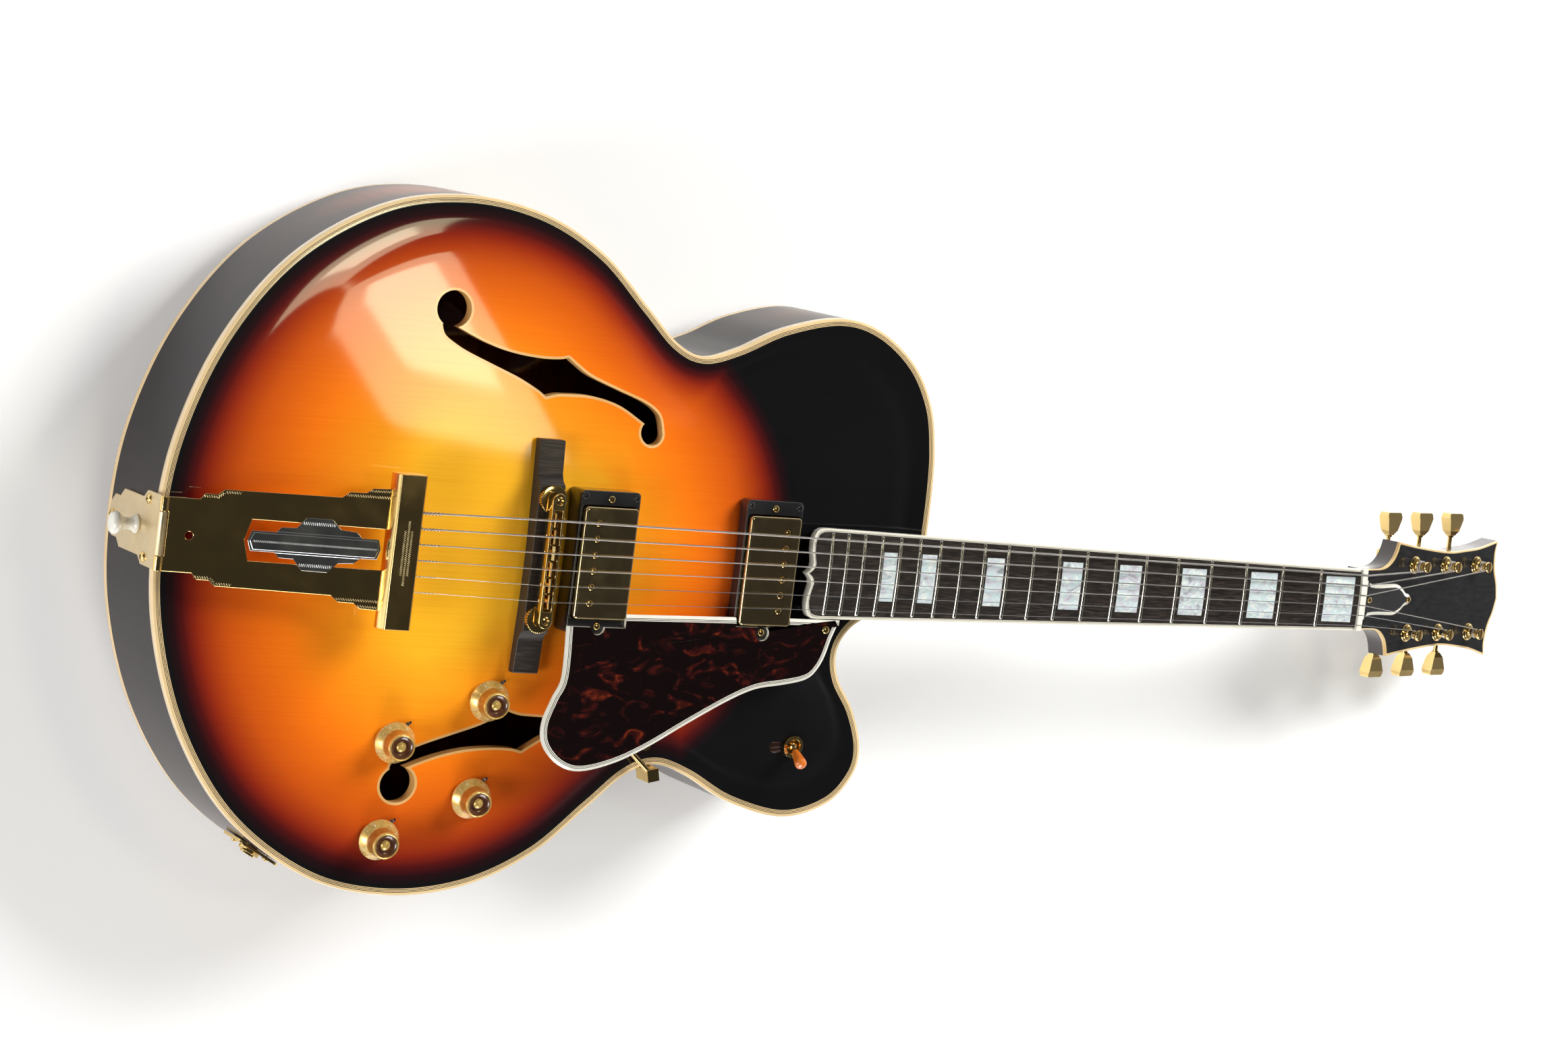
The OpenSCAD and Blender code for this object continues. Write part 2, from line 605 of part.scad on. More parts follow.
// Places along the top under the end of the fingerboard, where the neck's extension rests on it
function rest_x(k) = let (from = neck_point([board_end + 5, 0, -board_t])[0])
  from + (neck_point([4 - joint_d, 0, -board_t])[0] - from) * k / 6;
module neck() color("sienna") difference() {
  union() {
    neck_loft();
    on_head() head_slab(head_outline, -head_t, -veneer_t, 1);
    intersection() {
      on_neck() translate([0, 0, -board_t - board_rise]) linear_extrude(board_rise) polygon([
        [board_end + 5, -end_half + 4], [4 - joint_d, 3 - board_half(-joint_d)],
        [4 - joint_d, board_half(-joint_d) - 3], [board_end + 5, end_half - 4]
      ]);
      translate([0, end_half, 0]) rotate([90, 0, 0]) linear_extrude(2 * end_half) polygon(concat(
        [for (k = [0:6]) [rest_x(k), top_z + top_h(rest_x(k) - bridge_x, end_half - 4) - 1.5]],
        [for (x = [4 - joint_d, board_end + 5]) let (q = neck_point([x, 0, -board_t])) [q[0], q[2]]]
      ));
    }
  }
  on_neck() translate([-joint_d - heel_reach, -heel_reach, -board_t - heel_depth - 20])
    cube([2 * heel_reach, 2 * heel_reach, heel_depth + 20 - heel_cut]);
  body_space();
  translate([0, 0, seat]) top_blank();
  on_head() translate([0, -head_w, -veneer_t]) cube([head_len + 20, 2 * head_w, 30]);
  on_neck() translate([-last_d + 40, -3, -board_t - 8]) cube([last_d - 40 + nut_t + 2, 6, 20]);
  on_head() translate([rod_pocket[0] - 6, -6, -12]) cube([rod_pocket[1] - rod_pocket[0] + 6, 12, 20]);
  for (i = [0:5]) at_post(i) translate([0, 0, -head_t - 1]) cylinder(r = bush_r + 0.02, h = head_t + 2);
}
module heel_cap() color("cornsilk") difference() {
  intersection() {
    neck_loft();
    on_neck() translate([-joint_d - heel_reach, -heel_reach, -board_t - heel_cut - cap_t])
      cube([2 * heel_reach, 2 * heel_reach, cap_t]);
  }
  body_space();
}
module headstock_veneer() color("black") difference() {
  on_head() head_slab(head_core, seat - veneer_t, 0, veneer_start);
  on_head() translate([rod_pocket[0], -6, -9]) cube([rod_pocket[1] - rod_pocket[0], 12, 20]);
  for (i = [0:5]) at_post(i) translate([0, 0, -head_t - 1]) cylinder(r = bush_r + 0.02, h = head_t + 2);
}
module neck_binding() color("cornsilk") {
  on_neck() intersection() {
    translate([0, 0, -board_t]) linear_extrude(board_t + 1) difference() {
      polygon(board_outline);
      polygon(board_core);
      translate([0, -50]) square(100);
    }
    board_blank();
  }
  on_head() difference() {
    head_slab(head_outline, seat - veneer_t, 0, veneer_start);
    translate([0, 0, -veneer_t - 1]) linear_extrude(veneer_t + 2) polygon(head_core);
  }
}

// Strings from bass to treble: radius of each, and its places at the bridge and the nut
string_r = [0.62, 0.5, 0.4, 0.3, 0.22, 0.18];
function fan(spread, i) = spread * (0.5 - i / 5);
module nut() color("ivory") on_neck() difference() {
  intersection() {
    translate([seat, -nut_w / 2, seat - board_t]) cube([nut_t - seat, nut_w, board_t + nut_action + 1]);
    translate([-5, 0, -board_r]) rotate([0, 90, 0])
      cylinder(r = board_r + nut_action + 0.2, h = 20, $fn = 360);
  }
  for (i = [0:5])
    translate([-1, fan(nut_spread, i), nut_action - camber(fan(nut_spread, i))])
      rotate([0, 90, 0]) cylinder(r = string_r[i] + 0.1, h = nut_t + 2, $fn = 16);
  for (i = [0:5])
    translate([-1, fan(nut_spread, i) - string_r[i] - 0.1, nut_action - camber(fan(nut_spread, i))])
      cube([nut_t + 2, 2 * (string_r[i] + 0.1), 3]);
}

rod_r = 2.4;
module truss_rod() color("silver") on_neck() translate([0, 0, -board_t - 4.5]) rotate([0, 90, 0]) {
  translate([0, 0, -last_d + 44]) cylinder(r = rod_r, h = last_d - 44 + nut_t + 6);
  translate([0, 0, nut_t + 2]) cylinder(r = 3.6, h = 7, $fn = 6);
}
cover_half = [[1.5, 14.3], [5, 12.4], [10, 11.2], [22, 10.8], [37, 11.2], [43, 10.4], [49, 7.6],
  [53, 4.6], [57.5, 3.4], [60.5, 0]];
truss_cover_t = 2.5;
truss_screw_x = [7.5, 56];
module truss_rod_cover() color("black") on_head() difference() {
  translate([0, 0, seat]) linear_extrude(truss_cover_t) polygon(concat(
    open_spline(cover_half, 2),
    [for (p = reversed(open_spline(cover_half, 2))) if (p[1] > 0) [p[0], -p[1]]]
  ));
  for (x = truss_screw_x) translate([x, 0, -1]) cylinder(r = 1.3, h = 6);
}

// Round-headed wood screw with its shank along -Z
module wood_screw(head_r, shank_r, l) {
  intersection() {
    translate([0, 0, seat]) cylinder(r = head_r, h = head_r * 0.6);
    translate([0, 0, -head_r * 1.4]) sphere(r = head_r * 1.95);
  }
  translate([0, 0, -l]) cylinder(r = shank_r, h = l + seat);
}
ring_screw_at = [18.2, 41.2];
height_screw_y = 39.8;
guard_screw_at = [206.5, -36];
bracket_screws = [[17.4, -12], [-17.4, -12], [0, -70]];
jack_screw_at = 12;
foot_screw_z = -32;
module screws() color("gold") {
  for (side = pickup_sides) at_ring(side) {
    for (x = [-1, 1], y = [-1, 1])
      translate([x * ring_screw_at[0], y * ring_screw_at[1], 0]) {
        if (y > 0) wood_screw(2.3, 1.05, 1);
        translate([0, 0, -ring_screw_l(side)]) cylinder(r = 1.05, h = ring_screw_l(side));
      }
    for (y = [-1, 1]) translate([0, y * height_screw_y, 0]) wood_screw(2.3, 1.2, 2 - plate_z);
  }
  on_head() for (x = truss_screw_x) translate([x, 0, seat + truss_cover_t]) wood_screw(2.2, 1.1, 2.5);
  on_string_plane() translate([guard_screw_at[0], guard_screw_at[1], -guard_drop]) wood_screw(2.6, 1.4, 7);
  for (p = bracket_screws)
    translate([tail_x - seat - bracket_t, p[0], top_z + p[1]]) rotate([0, -90, 0]) wood_screw(3.2, 1.5, bracket_t + side_t - 0.2);
  at_jack() for (a = [45:90:315]) rotate(a) translate([jack_screw_at, 0, jack_plate_t + jack_gap])
    wood_screw(2, 1, 2.2);
  at_foot() translate([foot_t, 0, foot_screw_z]) rotate([0, 90, 0]) wood_screw(2.2, 1.2, foot_t + 0.3);
}

// Tailpiece: plate with a pointed window, hinged on the bracket that hangs down the side
hinge_z = 10;
knuckle_r = 2.6;
pin_r = 1.2;
knuckle_half = 13;
tail_plate_t = 2.2;
plate_half = [[0, 22.2], [20.7, 22.2], [23.9, 25.8], [31.3, 25.8], [35, 29], [106.4, 29.8],
  [111, 33.4], [121, 33.6], [125, 36.6], [140, 37.2]];
window_half = [[50, 0], [53.4, 12.4], [150, 12.4]];
insert_half = [[51.6, 0], [53.7, 6.1], [68.5, 6.1], [71.5, 9.2], [80.6, 9.4], [86.3, 15.9],
  [102, 16.1], [108, 10.2], [118, 9.4], [121.5, 6.1], [131.6, 6.1], [133.4, 0]];
module both_sides(half) polygon(concat(
  [for (p = half) [p[0], -p[1]]],
  [for (p = reversed(half)) if (p[1] > 0) [p[0], p[1]]]
));
module at_hinge() translate([tail_x - seat - bracket_t / 2, 0, top_z + hinge_z])
  rotate([0, -tail_slope, 0]) children();
crossbar_x = tail_x + 133.88 - bridge_x;
crossbar_w = 20;
crossbar_z = [24, 36];
tail_string_x = crossbar_x + 15.5;
tail_string_h = 30.8;
tail_spread = 48.2;
module tailpiece_plate() color("goldenrod") difference() {
  at_hinge() {
    translate([0, 0, -tail_plate_t / 2]) linear_extrude(tail_plate_t) difference() {
      both_sides(plate_half);
      both_sides(window_half);
      translate([-1, -knuckle_half - 0.3]) square([knuckle_r + 1.3, 2 * knuckle_half + 0.6]);
      translate([16.6, 0]) circle(2.4);
    }
    for (y = [-22.2, knuckle_half + 0.3])
      translate([0, y, 0]) rotate([-90, 0, 0]) cylinder(r = knuckle_r, h = 22.2 - knuckle_half - 0.3);
    translate([0, -22.2, 0]) rotate([-90, 0, 0]) cylinder(r = pin_r, h = 44.4);
  }
  at_bridge() translate([crossbar_x - seat, -60, 0]) cube([60, 120, 60]);
}
module tailpiece_crossbar() color("goldenrod") at_bridge() difference() {
  translate([crossbar_x, crossbar_len / 2, 0]) rotate([90, 0, 0]) linear_extrude(crossbar_len)
    polygon([[0, crossbar_z[0] + 2], [0, crossbar_z[1] - 4.5], [3, crossbar_z[1]],
      [crossbar_w - 1.4, crossbar_z[1]], [crossbar_w, crossbar_z[1] - 1.4],
      [crossbar_w, crossbar_z[0]], [2, crossbar_z[0]]]);
  translate([crossbar_x + 3, -crossbar_len / 2 + 3, crossbar_z[0] - 1])
    cube([crossbar_w - 6, crossbar_len - 6, crossbar_z[1] - crossbar_z[0] - 2]);
  for (i = [0:5])
    translate([tail_string_x, fan(tail_spread, i), tail_string_h]) rotate([0, 90, 0])
      cylinder(r = string_r[i] + 0.6, h = 10, $fn = 16);
}
insert_t = 1.3;
module tailpiece_insert() color("silver") at_hinge() translate([0, 0, tail_plate_t / 2 + seat]) {
  difference() {
    linear_extrude(insert_t) both_sides(insert_half);
    translate([0, 0, insert_t - 0.5]) linear_extrude(1) difference() {
      translate([60, -20]) square([62, 40]);
      translate([60, -6.4]) square([62, 12.8]);
    }
  }
  linear_extrude(insert_t + 0.8) both_sides([[53, 0], [55, 5], [130, 5], [132, 0]]);
}
bracket_half = [[22.2, hinge_z - 2], [22.2, -15.5], [17.6, -21.6], [17.6, -54], [12.7, -60],
  [12.7, -68.4], [7.8, -74], [0, -77]];
button_z = -28;
button_screw_l = 16;
module tail_bracket() color("khaki") translate([tail_x - seat - bracket_t, 0, top_z]) difference() {
  union() {
    rotate([90, 0, 90]) linear_extrude(bracket_t) polygon(concat(
      [for (p = bracket_half) p],
      [for (p = reversed(bracket_half)) if (p[0] > 0) [-p[0], p[1]]]
    ));
    translate([bracket_t / 2, -knuckle_half, hinge_z]) rotate([-90, 0, 0])
      cylinder(r = knuckle_r, h = 2 * knuckle_half);
    translate([0, -knuckle_half, hinge_z - 5]) cube([bracket_t, 2 * knuckle_half, 5]);
  }
  translate([bracket_t / 2, -30, hinge_z]) rotate([-90, 0, 0]) cylinder(r = pin_r + run, h = 60);
  for (side = [-1, 1])
    translate([-1, side * (knuckle_half + 5.3) - 5, hinge_z - knuckle_r - 0.8]) cube([5, 10, 10]);
  for (p = bracket_screws)
    translate([-1, p[0], p[1]]) rotate([0, 90, 0]) cylinder(r = 1.7, h = 5);
  translate([-1, 0, button_z]) rotate([0, 90, 0]) cylinder(r = 2.2, h = 5);
}
button_profile = [[0, 0], [5.6, 0], [5.6, 1.4], [4, 3], [3.75, 4.5], [3.9, 8.4], [4.6, 10], [6.2, 11.2],
  [7, 13], [6.6, 15.2], [4.6, 16.6], [0, 17]];
module strap_button() color("ivory")
  translate([tail_x - 2 * seat - bracket_t, 0, top_z + button_z]) rotate([0, -90, 0]) {
    rotate_extrude() polygon([for (p = button_profile) [p[0], p[1] * (button_len - seat) / 17]]);
    translate([0, 0, -button_screw_l]) cylinder(r = 1.95, h = button_screw_l + 1);
  }

// Bridge: ebony base shaped to the top, two studs with thumbwheels and the metal bridge
wheel_z = 26;
wheel_t = 3.9;
bar_z = [30.1, 37.6];
bar_half_w = 4.3;
stud_r = 2.2;
base_profile = [[1, -7.8], [0.985, -7.2], [0.72, -5.8], [0.66, -3.6], [0.625, 0]];
module bridge_base() color("black") difference() {
  at_bridge() translate([-base_w / 2, 0, 0]) rotate([90, 0, 90]) linear_extrude(base_w) polygon(concat(
    [[-base_len / 2, under_h(0, 0) + 0.6], [base_len / 2, under_h(0, 0) + 0.6]],
    [for (p = base_profile) [p[0] * base_len / 2, wheel_z - seat + p[1]]],
    [for (p = reversed(base_profile)) [-p[0] * base_len / 2, wheel_z - seat + p[1]]]
  ));
  top_space(0, 0, base_w / 2, base_len / 2 + 1);
  at_bridge() for (side = [-1, 1])
    translate([0, side * stud_spread / 2, wheel_z - 8]) cylinder(r = stud_r + 0.02, h = 20);
}
module bridge_studs() color("goldenrod") at_bridge() for (side = [-1, 1])
  translate([0, side * stud_spread / 2, wheel_z - 8]) cylinder(r = stud_r, h = bar_z[1] - wheel_z + 7.2);
module thumbwheel(side) at_bridge() translate([0, side * stud_spread / 2, wheel_z]) difference() {
  cylinder(r = wheel_d / 2, h = wheel_t);
  translate([0, 0, -1]) cylinder(r = stud_r + run, h = wheel_t + 2);
  for (a = [0:12:348]) rotate(a) translate([wheel_d / 2 + 0.25, 0, -1]) cylinder(r = 0.6, h = 9, $fn = 8);
}
module thumbwheel_bass() color("goldenrod") thumbwheel(1);
module thumbwheel_treble() color("goldenrod") thumbwheel(-1);

saddle_half = 1.5;
saddle_w = 8.6;
saddle_set = [-1, -0.4, 0.2, -0.6, 0, 0.6];
function saddle_h(i) = string_rise - camber(fan(bridge_spread, i));
module bar_outline(half, l) {
  square([2 * half, l - 2 * half], center = true);
  for (side = [-1, 1]) translate([0, side * (l / 2 - half)]) circle(half);
}
module bridge_body() color("goldenrod") at_bridge() difference() {
  translate([0, 0, bar_z[0]]) linear_extrude(bar_z[1] - bar_z[0]) bar_outline(bar_half_w, saddle_bar_len);
  translate([-3, -bridge_spread / 2 - 6, bar_z[0] + 2.4]) cube([6, bridge_spread + 12, 10]);
  for (side = [-1, 1])
    translate([0, side * stud_spread / 2, bar_z[0] - 1]) cylinder(r = stud_r + run, h = 20);
  for (i = [0:5])
    translate([-6, fan(bridge_spread, i), bar_z[0] + 4.6]) rotate([0, 90, 0]) cylinder(r = 1, h = 12);
}
module bridge_saddles() color("gold") at_bridge() for (i = [0:5]) {
  y = fan(bridge_spread, i);
  low = bar_z[0] + 2.4 + seat;
  top = saddle_h(i) - string_r[i] + 0.35;
  difference() {
    translate([saddle_set[i], y + saddle_w / 2, 0]) rotate([90, 0, 0]) linear_extrude(saddle_w)
      polygon([[-saddle_half, low], [saddle_half, low], [saddle_half, top - 1.6], [0.4, top],
        [-0.4, top], [-saddle_half, top - 1.6]]);
    translate([-8, y, saddle_h(i)]) rotate([0, 90, 0]) cylinder(r = string_r[i] + 0.1, h = 16, $fn = 16);
    translate([-8, y, bar_z[0] + 4.6]) rotate([0, 90, 0]) cylinder(r = 0.95, h = 16);
  }
  translate([saddle_set[i] - saddle_half, y, bar_z[0] + 4.6]) rotate([0, 90, 0]) {
    cylinder(r = 0.9, h = bar_half_w + 0.1 + saddle_half - saddle_set[i]);
    translate([0, 0, bar_half_w + 0.1 + saddle_half - saddle_set[i]]) cylinder(r = 1.7, h = 1.5);
  }
}

// Pickups: plastic ring on the top, and a metal cover over two coils on a base plate
pickup_sides = [0, 1];
ring_top = [30.9, 24.1];
ring_wall = 1.8;
ring_lid = 2.4;
function ring_screw_l(side) = ring_top[side] - top_h(pickup_places[side], ring_screw_at[1]) - 2;
cover_lift = 3.8;
cover_wall = 0.8;
plate_z = -13.6;
pickup_plate_t = 1.4;
cover_h = cover_lift - plate_z - pickup_plate_t - seat;
ear_w = 7;
pickup_hole_w = 40.4;
pickup_hole_len = 72.4;
pole_shift = 9;
pole_pitch = 10;
module at_ring(side) at_bridge() translate([pickup_places[side], 0, ring_top[side]])
  rotate([0, string_slope, 0]) children();
module pickup_rings() color("black") for (side = pickup_sides) difference() {
  at_ring(side) difference() {
    union() {
      translate([0, 0, -ring_lid]) linear_extrude(ring_lid) round_rect(ring_w, ring_len, 3);
      translate([0, 0, -17.2]) linear_extrude(16) difference() {
        round_rect(ring_w, ring_len, 3);
        round_rect(ring_w - 2 * ring_wall, ring_len - 2 * ring_wall, 1.4);
      }
      for (x = [-1, 1], y = [-1, 1])
        translate([x * ring_screw_at[0], y * ring_screw_at[1], -17.2]) cylinder(r = 2.6, h = 16);
    }
    translate([0, 0, -30]) linear_extrude(40) round_rect(cover_w + 0.8, cover_len + 0.8, 2.6);
    for (x = [-1, 1], y = [-1, 1])
      translate([x * ring_screw_at[0], y * ring_screw_at[1], -30]) cylinder(r = 1.15, h = 40);
    for (y = [-1, 1]) translate([0, y * height_screw_y, -30]) cylinder(r = 1.35, h = 40);
  }
  top_space(pickup_places[side], 0, ring_w / 2 + 1, ring_len / 2 + 2);
}
module pickup_covers() color("goldenrod") for (side = pickup_sides) at_ring(side)
  translate([0, 0, cover_lift - cover_h]) difference() {
    linear_extrude(cover_h) round_rect(cover_w, cover_len, 2.6);
    translate([0, 0, -1]) linear_extrude(cover_h + 1 - cover_wall)
      round_rect(cover_w - 2 * cover_wall, cover_len - 2 * cover_wall, 1.8);
    for (i = [0:5]) translate([pole_sides[side] * pole_shift, pole_pitch * (i - 2.5), 0])
      cylinder(r = 2.5, h = cover_h + 1);
  }
module pickup_coils() color("dimgray") for (side = pickup_sides) at_ring(side) difference() {
  union() {
    translate([0, 0, plate_z]) linear_extrude(pickup_plate_t) {
      round_rect(cover_w - 2, cover_len - 1.8, 1.5);
      square([ear_w, 2 * height_screw_y + 5], center = true);
    }
    for (x = [-1, 1]) translate([x * pole_shift, 0, plate_z + pickup_plate_t])
      linear_extrude(cover_h - cover_wall - 0.3) round_rect(17, cover_len - 4, 4);
  }
  for (i = [0:5]) translate([pole_sides[side] * pole_shift, pole_pitch * (i - 2.5), plate_z - 1])
    cylinder(r = 1.3, h = 20);
  for (y = [-1, 1]) translate([0, y * height_screw_y, plate_z - 1]) cylinder(r = 1.25, h = 4);
}
module pole_screws() color("goldenrod") for (side = pickup_sides, i = [0:5]) at_ring(side)
  translate([pole_sides[side] * pole_shift, pole_pitch * (i - 2.5), 0]) difference() {
    union() {
      translate([0, 0, cover_lift - 1.15]) cylinder(r = 2.4, h = 1.6);
      translate([0, 0, plate_z - 3]) cylinder(r = 1.2, h = cover_lift - plate_z + 2);
    }
    translate([0, 0, cover_lift + 1]) rotate(30 + 25 * i) cube([6, 0.7, 1.9], center = true);
  }

// Pickguard in the plane under the strings, from its neck corner round to its tail corner
guard_curve = [[217.3, -29.8], [212.8, -41.1], [209.4, -52.6], [206, -60], [200.6, -66.5],
  [193, -70], [178.8, -72.8], [159.5, -76], [139.9, -84.2], [112.1, -99.3], [84.7, -115],
  [61.5, -125.4], [38.4, -130.6], [22.5, -126.6], [10.4, -114.9], [7.9, -101], [13, -85],
  [18.2, -71.5], [17.3, -40.5]];
notch_r = 5;
module guard_shape() difference() {
  polygon(concat(open_spline(guard_curve, 2), [[17.3, -31.4], [58, -31.4], [182, -29.8]]));
  translate([rear_pickup - cover_w / 2 - 12, -40]) square([cover_w + 12.6, 20]);
  translate([front_pickup - cover_w / 2 - 1, -cover_len / 2 - 1]) square([cover_w + 2, 20]);
  for (x = pickup_places) translate([x, -height_screw_y]) circle(notch_r);
}
module pickguard() color("maroon") on_string_plane() difference() {
  translate([0, 0, -guard_drop - guard_t]) linear_extrude(guard_t) guard_shape();
  translate([guard_screw_at[0], guard_screw_at[1], -20]) cylinder(r = 1.6, h = 20);
}
module pickguard_block() color("black") difference() {
  at_bridge() translate([guard_screw_at[0], guard_screw_at[1], top_h(guard_screw_at[0], -30) - 3])
    cylinder(r = 5, h = 30);
  top_space(guard_screw_at[0], guard_screw_at[1], 6, 8);
  on_string_plane() translate([150, -100, -guard_drop - guard_t - seat]) cube([100, 200, 50]);
  on_string_plane() translate([guard_screw_at[0], guard_screw_at[1], -30]) cylinder(r = 1.6, h = 30);
}
// Foot of the pickguard's bracket, on the side at the waist, and the outward direction there
foot_index = 29;
foot_t = 1.5;
foot_gap = 0.55;
foot_w = 8;
rod_z = 8;
function outward(i) = let (along = body_edge[i + 1] - body_edge[i - 1]) atan2(-along[0], along[1]);
module at_foot() translate([body_edge[foot_index][0], body_edge[foot_index][1], top_z])
  rotate(outward(foot_index)) translate([foot_gap, 0, 0]) children();
arm_base = [84, -117];
module pickguard_bracket() color("goldenrod") {
  reach = [bridge_x + arm_base[0], arm_base[1]] - body_edge[foot_index];
  swing = atan2(reach[1], reach[0]) - outward(foot_index);
  at_foot() {
    difference() {
      union() {
        translate([0, -foot_w / 2, -42]) cube([foot_t, foot_w, 42]);
        translate([0, -foot_w / 2, -6]) cube([foot_w, foot_w, rod_z + 8.5]);
      }
      translate([-1, 0, foot_screw_z]) rotate([0, 90, 0]) cylinder(r = 1.3, h = 5);
    }
    translate([foot_w / 2, 0, rod_z]) rotate([0, 90, swing]) cylinder(r = 1.8, h = norm(reach));
  }
  difference() {
    at_bridge() translate([arm_base[0] + 1.2, arm_base[1] + 3, rod_z - 1.8]) cylinder(r = 3, h = 30);
    on_string_plane() translate([0, -200, -guard_drop - guard_t - seat]) cube([200, 200, 50]);
  }
}

// Frame on the top at one of the controls, with +Z square to the arched surface
module at_control(p) {
  slope_x = (top_h(p[0] + 5, p[1]) - top_h(p[0] - 5, p[1])) / 10;
  slope_y = (top_h(p[0], p[1] + 5) - top_h(p[0], p[1] - 5)) / 10;
  at_bridge() translate([p[0], p[1], top_h(p[0], p[1])]) rotate([atan(slope_y), -atan(slope_x), 0])
    children();
}
function wood_t(p) = top_h(p[0], p[1]) - under_h(p[0], p[1]) + 1;
shaft_r = 3;
pointer_turn = 58;
knob_profile = [[8.3, 1], [13, 1], [13, 2], [12.2, 3.2], [10.7, 4.6], [10.1, 6.6], [9.7, 14.8],
  [9.1, 15.6], [8, 15.6], [7.4, 15], [0, 15], [0, 3.4], [8.3, 3.4]];
module knob(p) color("saddlebrown") at_control(p) {
  rotate_extrude() polygon([
    for (q = knob_profile) [q[0] * knob_d / 26, 1 + (q[1] - 1) * (knob_h - 1) / 14.6]
  ]);
  translate([0, 0, -3]) cylinder(r = shaft_r, h = 10);
}
module knob_1() knob(knob_places[0]);
module knob_2() knob(knob_places[1]);
module knob_3() knob(knob_places[2]);
module knob_4() knob(knob_places[3]);
module pots() color("silver") for (p = knob_places) at_control(p) difference() {
  union() {
    translate([0, 0, -wood_t(p) - 9]) cylinder(r = 12, h = 9);
    translate([0, 0, -wood_t(p) - 1]) cylinder(r = control_hole_r - 0.1, h = wood_t(p) + 3.4);
    translate([0, 0, 0.15]) linear_extrude(0.6) {
      circle(7);
      rotate(pointer_turn) polygon([[0, -3.4], [11, -1.9], [15.8, -0.5], [15.8, 0.5], [11, 1.9], [0, 3.4]]);
    }
    translate([0, 0, 0.7]) cylinder(r = 6.4, h = 1.7, $fn = 6);
  }
  translate([0, 0, -4]) cylinder(r = shaft_r + run, h = 10);
}

lever_turn = -106;
switch_nut_r = 7.3;
module switch_body() color("goldenrod") at_control(switch_place) {
  difference() {
    union() {
      translate([0, 0, 0.15]) cylinder(r = switch_nut_r, h = 2.6);
      translate([0, 0, -wood_t(switch_place) - 1]) cylinder(r = control_hole_r - 0.1, h = 12);
    }
    translate([0, 0, -1.6]) cylinder(r1 = 3.3, r2 = 5.8, h = 6);
    for (a = [0:15:345]) rotate(a) translate([switch_nut_r + 0.3, 0, -1]) cylinder(r = 0.7, h = 9, $fn = 8);
  }
  translate([-9, -7, -wood_t(switch_place) - 17]) cube([18, 14, 16.2]);
}
lever_profile = [[0, 5.4], [2.3, 5.4], [2.6, 7], [3.9, 15.5], [3.9, 17.6], [3, 19.2], [0, 19.9]];
module switch_lever() color("orange") at_control(switch_place) translate([0, 0, 1.5])
  rotate(lever_turn) rotate([0, lever_lean, 0]) {
    sphere(r = 2.6);
    rotate([90, 0, 0]) cylinder(r = 0.7, h = 6, center = true);
    cylinder(r = 1.5, h = 6);
    rotate_extrude() polygon(lever_profile);
  }

// Output socket on the treble side of the tail, square to the side there
jack_index = 11;
jack_z = -43;
jack_plate_t = 1.8;
jack_gap = 0.3;
jack_barrel_r = 5.2;
module at_jack() translate([body_edge[jack_index][0], body_edge[jack_index][1], top_z + jack_z])
  rotate(outward(jack_index)) rotate([0, 90, 0]) children();
module jack_plate() color("goldenrod") at_jack() {
  difference() {
    translate([0, 0, jack_gap]) linear_extrude(jack_plate_t) round_rect(32, 32, 6);
    translate([0, 0, -1]) cylinder(r = jack_barrel_r + 0.02, h = 5);
    for (a = [45:90:315]) rotate(a) translate([jack_screw_at, 0, -1]) cylinder(r = 1.1, h = 5);
  }
  difference() {
    union() {
      translate([0, 0, -16]) cylinder(r = jack_barrel_r, h = 16 + jack_gap + jack_plate_t + seat);
      translate([0, 0, jack_gap + jack_plate_t + seat]) cylinder(r = 7, h = 2, $fn = 6);
      translate([0, 0, jack_gap + jack_plate_t + seat + 1.9]) cylinder(r = jack_barrel_r, h = 1.4);
    }
    translate([0, 0, -15]) cylinder(r = jack_bore_r, h = 30);
  }
}

// Tuners: the worm under each headstock side turns the post through a wheel in the housing
worm_x = -7.5;
worm_r = 2.4;
wheel_r = 4.9;
gear_z = -5.6;
housing_h = 10;
module tuner_housings() color("gold") for (i = [0:5]) at_post(i) difference() {
  translate([-3.5, 0, -head_t - seat - housing_h]) linear_extrude(housing_h) round_rect(20, 16, 2.5);
  translate([0, 0, -head_t + gear_z - 2]) cylinder(r = wheel_r + 0.2, h = 4);
  translate([0, 0, -head_t + gear_z]) cylinder(r = post_r + run, h = 10);
  translate([worm_x, 0, -head_t + gear_z]) rotate([-90, 0, 0])
    translate([0, 0, -6.5]) cylinder(r = worm_r + 0.15, h = 13);
  translate([worm_x, 0, -head_t + gear_z]) rotate([-90 * post_side(i), 0, 0])
    cylinder(r = stem_r + run, h = 12);
}
module tuner_bushings() color("gold") for (i = [0:5]) at_post(i) difference() {
  union() {
    translate([0, 0, -12]) cylinder(r = bush_r, h = 12 + seat);
    translate([0, 0, seat]) cylinder(r1 = 6.2, r2 = 4.6, h = 1.8);
  }
  translate([0, 0, -20]) cylinder(r = post_r + run, h = 40);
}
post_waist = 2.6;
post_profile = [[0, 2], [3, 2], [3, 2.6], [post_waist, 3.2], [post_waist, 8.6], [3.6, 9.6], [4, 10.4],
  [3.8, 11.6], [2.6, 12.2], [0, 12.2]];
module post(i) color("gold") at_post(i) {
  rotate_extrude() polygon(post_profile);
  translate([0, 0, -head_t + gear_z]) cylinder(r = post_r, h = head_t - gear_z + 2.1);
  translate([0, 0, -head_t + gear_z - 1.8]) cylinder(r = wheel_r, h = 3.6);
}
module tuner_post_1() post(0);
module tuner_post_2() post(1);
module tuner_post_3() post(2);
module tuner_post_4() post(3);
module tuner_post_5() post(4);
module tuner_post_6() post(5);
stem_r = 1.7;
button_gap = 0.6;
button_l = 16.5;
